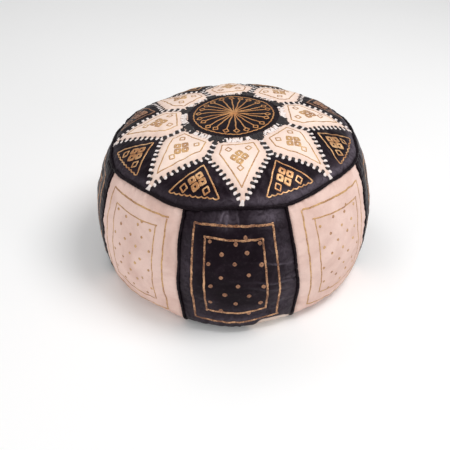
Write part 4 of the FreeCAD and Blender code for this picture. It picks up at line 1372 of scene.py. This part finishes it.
def woven(name, light, dark, threads):
    """Plain weave, its threads along X and Y."""
    look = Look(name)
    inputs = {"Vector": look.place, "Scale": threads / 20}
    x, y = (look.node("ShaderNodeTexWave", inputs, bands_direction=axis) for axis in "XY")
    weave = look.maths("MULTIPLY", x.outputs["Fac"], y.outputs["Fac"])
    tint = look.noise(90, 4, 0.6)
    colour = look.mix(look.maths("MULTIPLY", weave, tint), dark, light)
    look.set(Base_Color=colour, Roughness=0.85, Normal=look.bump(weave, 0.6, 0.2 * MM))
    look.set(Sheen_Weight=0.25, Sheen_Roughness=0.5)
    return look.material


def fibre(name, light, dark):
    """Loose stuffing."""
    look = Look(name)
    tufts = look.noise(60, 8, 0.75, 1.5)
    strands = look.noise(900, 4, 0.8, 2.0)
    colour = look.mix(tufts, light, dark)
    normal = look.bump(tufts, 0.9, 4 * MM)
    look.set(Base_Color=colour, Roughness=0.95, Normal=look.bump(strands, 0.6, 0.4 * MM, normal))
    look.set(Sheen_Weight=0.5, Sheen_Roughness=0.6)
    return look.material


def brass(name):
    """Yellow metal, tarnished in patches and finely scratched."""
    look = Look(name)
    tarnish = look.noise(220, 5, 0.65, 0.4)
    colour = look.mix(look.spread(tarnish, 0.0, 1.0, 0.45, 0.75), (0.62, 0.43, 0.16), (0.22, 0.13, 0.05))
    scratches = look.noise(1600, 2, 0.5)
    look.set(Base_Color=colour, Metallic=1.0, Roughness=look.spread(tarnish, 0.26, 0.5))
    look.set(Normal=look.bump(scratches, 0.15, 0.05 * MM))
    return look.material


# Every look: the function that makes it, its name, and what is given to that function.
LOOKS = (
    (black_leather, "black_leather", 1.0),
    (black_leather, "black_welt", 0.8),
    (pale_leather, "kite_leather", (0.90, 0.735, 0.64), (0.80, 0.61, 0.52), 0.8, 15.0),
    (pale_leather, "side_leather", (0.82, 0.595, 0.525), (0.66, 0.435, 0.37), 1.0, 6.0),
    (pale_leather, "base_leather", (0.78, 0.66, 0.58), (0.66, 0.52, 0.44), 1.2, 6.0),
    (gilding, "gold_on_top", (0.72, 0.43, 0.21), (0.44, 0.19, 0.07), (0.08, 0.04, 0.02), 0.82, 0.45),
    (gilding, "gold_on_medallion",
     (0.64, 0.32, 0.12), (0.50, 0.21, 0.07), (0.08, 0.035, 0.018), 0.82, 0.45),
    (gilding, "gold_on_black",
     (0.80, 0.45, 0.24), (0.30, 0.115, 0.045), (0.10, 0.040, 0.022), 0.66, 0.45),
    (gilding, "gold_dim", (0.42, 0.21, 0.115), (0.24, 0.10, 0.05), (0.07, 0.030, 0.018), 0.74, 0.3),
    (gilding, "gold_on_pale", (0.66, 0.40, 0.17), (0.38, 0.18, 0.08), (0.68, 0.45, 0.33), 0.78, 0.3),
    (thong, "pale_thong", (0.90, 0.82, 0.79), (0.68, 0.57, 0.53), 0.7),
    (thong, "dark_thong", (0.010, 0.007, 0.008), (0.026, 0.018, 0.021), 0.5),
    (woven, "cotton_lining", (0.72, 0.69, 0.62), (0.50, 0.47, 0.41), 1200),
    (fibre, "stuffing_fibre", (0.80, 0.77, 0.70), (0.55, 0.51, 0.45)),
    (woven, "zip_tape_weave", (0.030, 0.026, 0.027), (0.008, 0.007, 0.008), 1800),
    (brass, "zip_brass"),
)


# ---------- all of it

ZIP_TAPES = ("zip_tape_front", "zip_tape_rear")
ZIP_METAL = ("zip_teeth_front", "zip_teeth_rear", "zip_stops", "zip_slider", "zip_pull")


def dress(nodes, look):
    """Gives CAD pieces that stay a material."""
    for name in nodes:
        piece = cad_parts[name]
        piece.data.materials.clear()
        piece.data.materials.append(look)


RUBBED_GUSSETS = (2, 5)      # whose gilding is the most worn


def make_gilding(looks):
    medallion, gussets, rubbed, kites = Pile(), Pile(), Pile(), Pile()
    gild_medallion(medallion)
    for i in range(POINTS):
        gild_kite(kites, i)
        gild_gusset(rubbed if i in RUBBED_GUSSETS else gussets, i)
    medallion.build("medallion_gilding_lines", looks["gold_on_medallion"], "gold_foil",
                    ["medallion_gilding"])
    kites.build("kite_gilding_lines", looks["gold_on_pale"], "gold_foil", ["star_gilding"])
    gussets.build("gusset_gilding_lines", looks["gold_on_top"], "gold_foil")
    rubbed.build("rubbed_gusset_gilding_lines", looks["gold_dim"], "gold_foil")
    dark, dark_dots, pale = Pile(), Pile(), Pile()
    for i in range(POINTS):
        if i % 2 == 0:
            gild_panel(dark, dark_dots, i, (3.1, 2.9), DOT, 3)
        else:
            gild_panel(pale, pale, i, (2.5, 1.9), PALE_DOT, 4)
    dark_dots.build("black_panel_gilding_dots", looks["gold_dim"], "gold_foil")
    dark.build("black_panel_gilding_lines", looks["gold_on_black"], "gold_foil", ["panel_gilding"])
    pale.build("pale_panel_gilding_lines", looks["gold_on_pale"], "gold_foil")


PANEL_LOOKS = (("black_leather", "leather_black"), ("side_leather", "leather_natural"))


def make_pouf():
    looks = {name: make(name, *given) for make, name, *given in LOOKS}
    make_medallion(looks["black_leather"])
    for i in range(POINTS):
        make_kite(i, looks["kite_leather"])
        make_gusset(i, looks["black_leather"])
        lace_star(i, looks)
        look, slot = PANEL_LOOKS[i % 2]
        make_side_panel(i, looks[look], slot)
        make_side_welt(i, looks["black_welt"])
    lace_medallion(looks)
    make_top_welt(looks["black_welt"])
    make_gilding(looks)
    make_base_half("base_front", -1, looks["base_leather"])
    make_base_half("base_rear", 1, looks["base_leather"])
    make_backing(looks["cotton_lining"])
    make_bag("lining_cloth", "lining_bag", 2.6 * MM, 13.0 * MM, looks["cotton_lining"], "cotton_lining")
    filling = make_bag("stuffing_wool", "stuffing", 4.2 * MM, 15.0 * MM, looks["stuffing_fibre"],
                       "stuffing_fibre")
    dress(ZIP_TAPES, looks["zip_tape_weave"])
    dress(ZIP_METAL, looks["zip_brass"])


# ---------- floor, light and camera

FOCUS = (0, 0, 0.12)          # the point that the camera's distance and height are counted from
DISTANCE = 1.168
ELEVATION = radians(34.1)
SIDESTEP = radians(-1.7)
LENS = 56.0                   # on a 36 mm wide sensor
SHIFT = (-0.019, -0.098)


def make_stage():
    mesh = bpy.data.meshes.new("floor")
    reach = 6.0
    mesh.from_pydata([(-reach, -reach, 0), (reach, -reach, 0), (reach, reach, 0), (-reach, reach, 0)],
                     [], [(0, 1, 2, 3)])
    floor = bpy.data.objects.new("floor", mesh)
    bpy.context.scene.collection.objects.link(floor)
    look = Look("floor")
    look.set(Base_Color=look.mix(look.noise(3, 2), (0.95, 0.95, 0.95), (0.97, 0.97, 0.97)), Roughness=0.9)
    mesh.materials.append(look.material)


def add_light(name, place, size, power):
    light = bpy.data.lights.new(name, "AREA")
    light.shape = "DISK"
    light.size = size
    light.energy = power
    lamp = bpy.data.objects.new(name, light)
    lamp.location = place
    aim = np.array(FOCUS) - np.array(place)
    lamp.rotation_euler = Vector(aim).to_track_quat("-Z", "Y").to_euler()
    bpy.context.scene.collection.objects.link(lamp)


# Lamps: name, place, size in metres, power in watts.
LAMPS = (
    ("overhead", (0.75, -0.15, 1.75), 0.9, 17.0),
    ("window", (1.25, -1.15, 0.75), 0.5, 4.0),
    ("fill", (-1.4, -1.3, 0.9), 1.0, 7.5),
    ("back", (-0.7, 1.1, 2.0), 1.0, 7.0),
)
SKY = 0.46


def make_light():
    world = bpy.data.worlds.new("world")
    world.use_nodes = True
    world.node_tree.nodes["Background"].inputs["Color"].default_value = (1, 1, 1, 1)
    world.node_tree.nodes["Background"].inputs["Strength"].default_value = SKY
    bpy.context.scene.world = world
    bpy.context.scene.view_settings.view_transform = "Standard"
    for lamp in LAMPS:
        add_light(*lamp)


def make_camera():
    camera = bpy.data.cameras.new("camera")
    camera.lens = LENS
    camera.shift_x, camera.shift_y = SHIFT
    eye = bpy.data.objects.new("camera", camera)
    across = DISTANCE * cos(ELEVATION)
    eye.location = (
        FOCUS[0] + across * sin(SIDESTEP),
        FOCUS[1] - across * cos(SIDESTEP),
        FOCUS[2] + DISTANCE * sin(ELEVATION),
    )
    eye.rotation_euler = (pi / 2 - ELEVATION, 0, SIDESTEP)
    bpy.context.scene.collection.objects.link(eye)
    bpy.context.scene.camera = eye


make_pouf()
make_stage()
make_light()
make_camera()
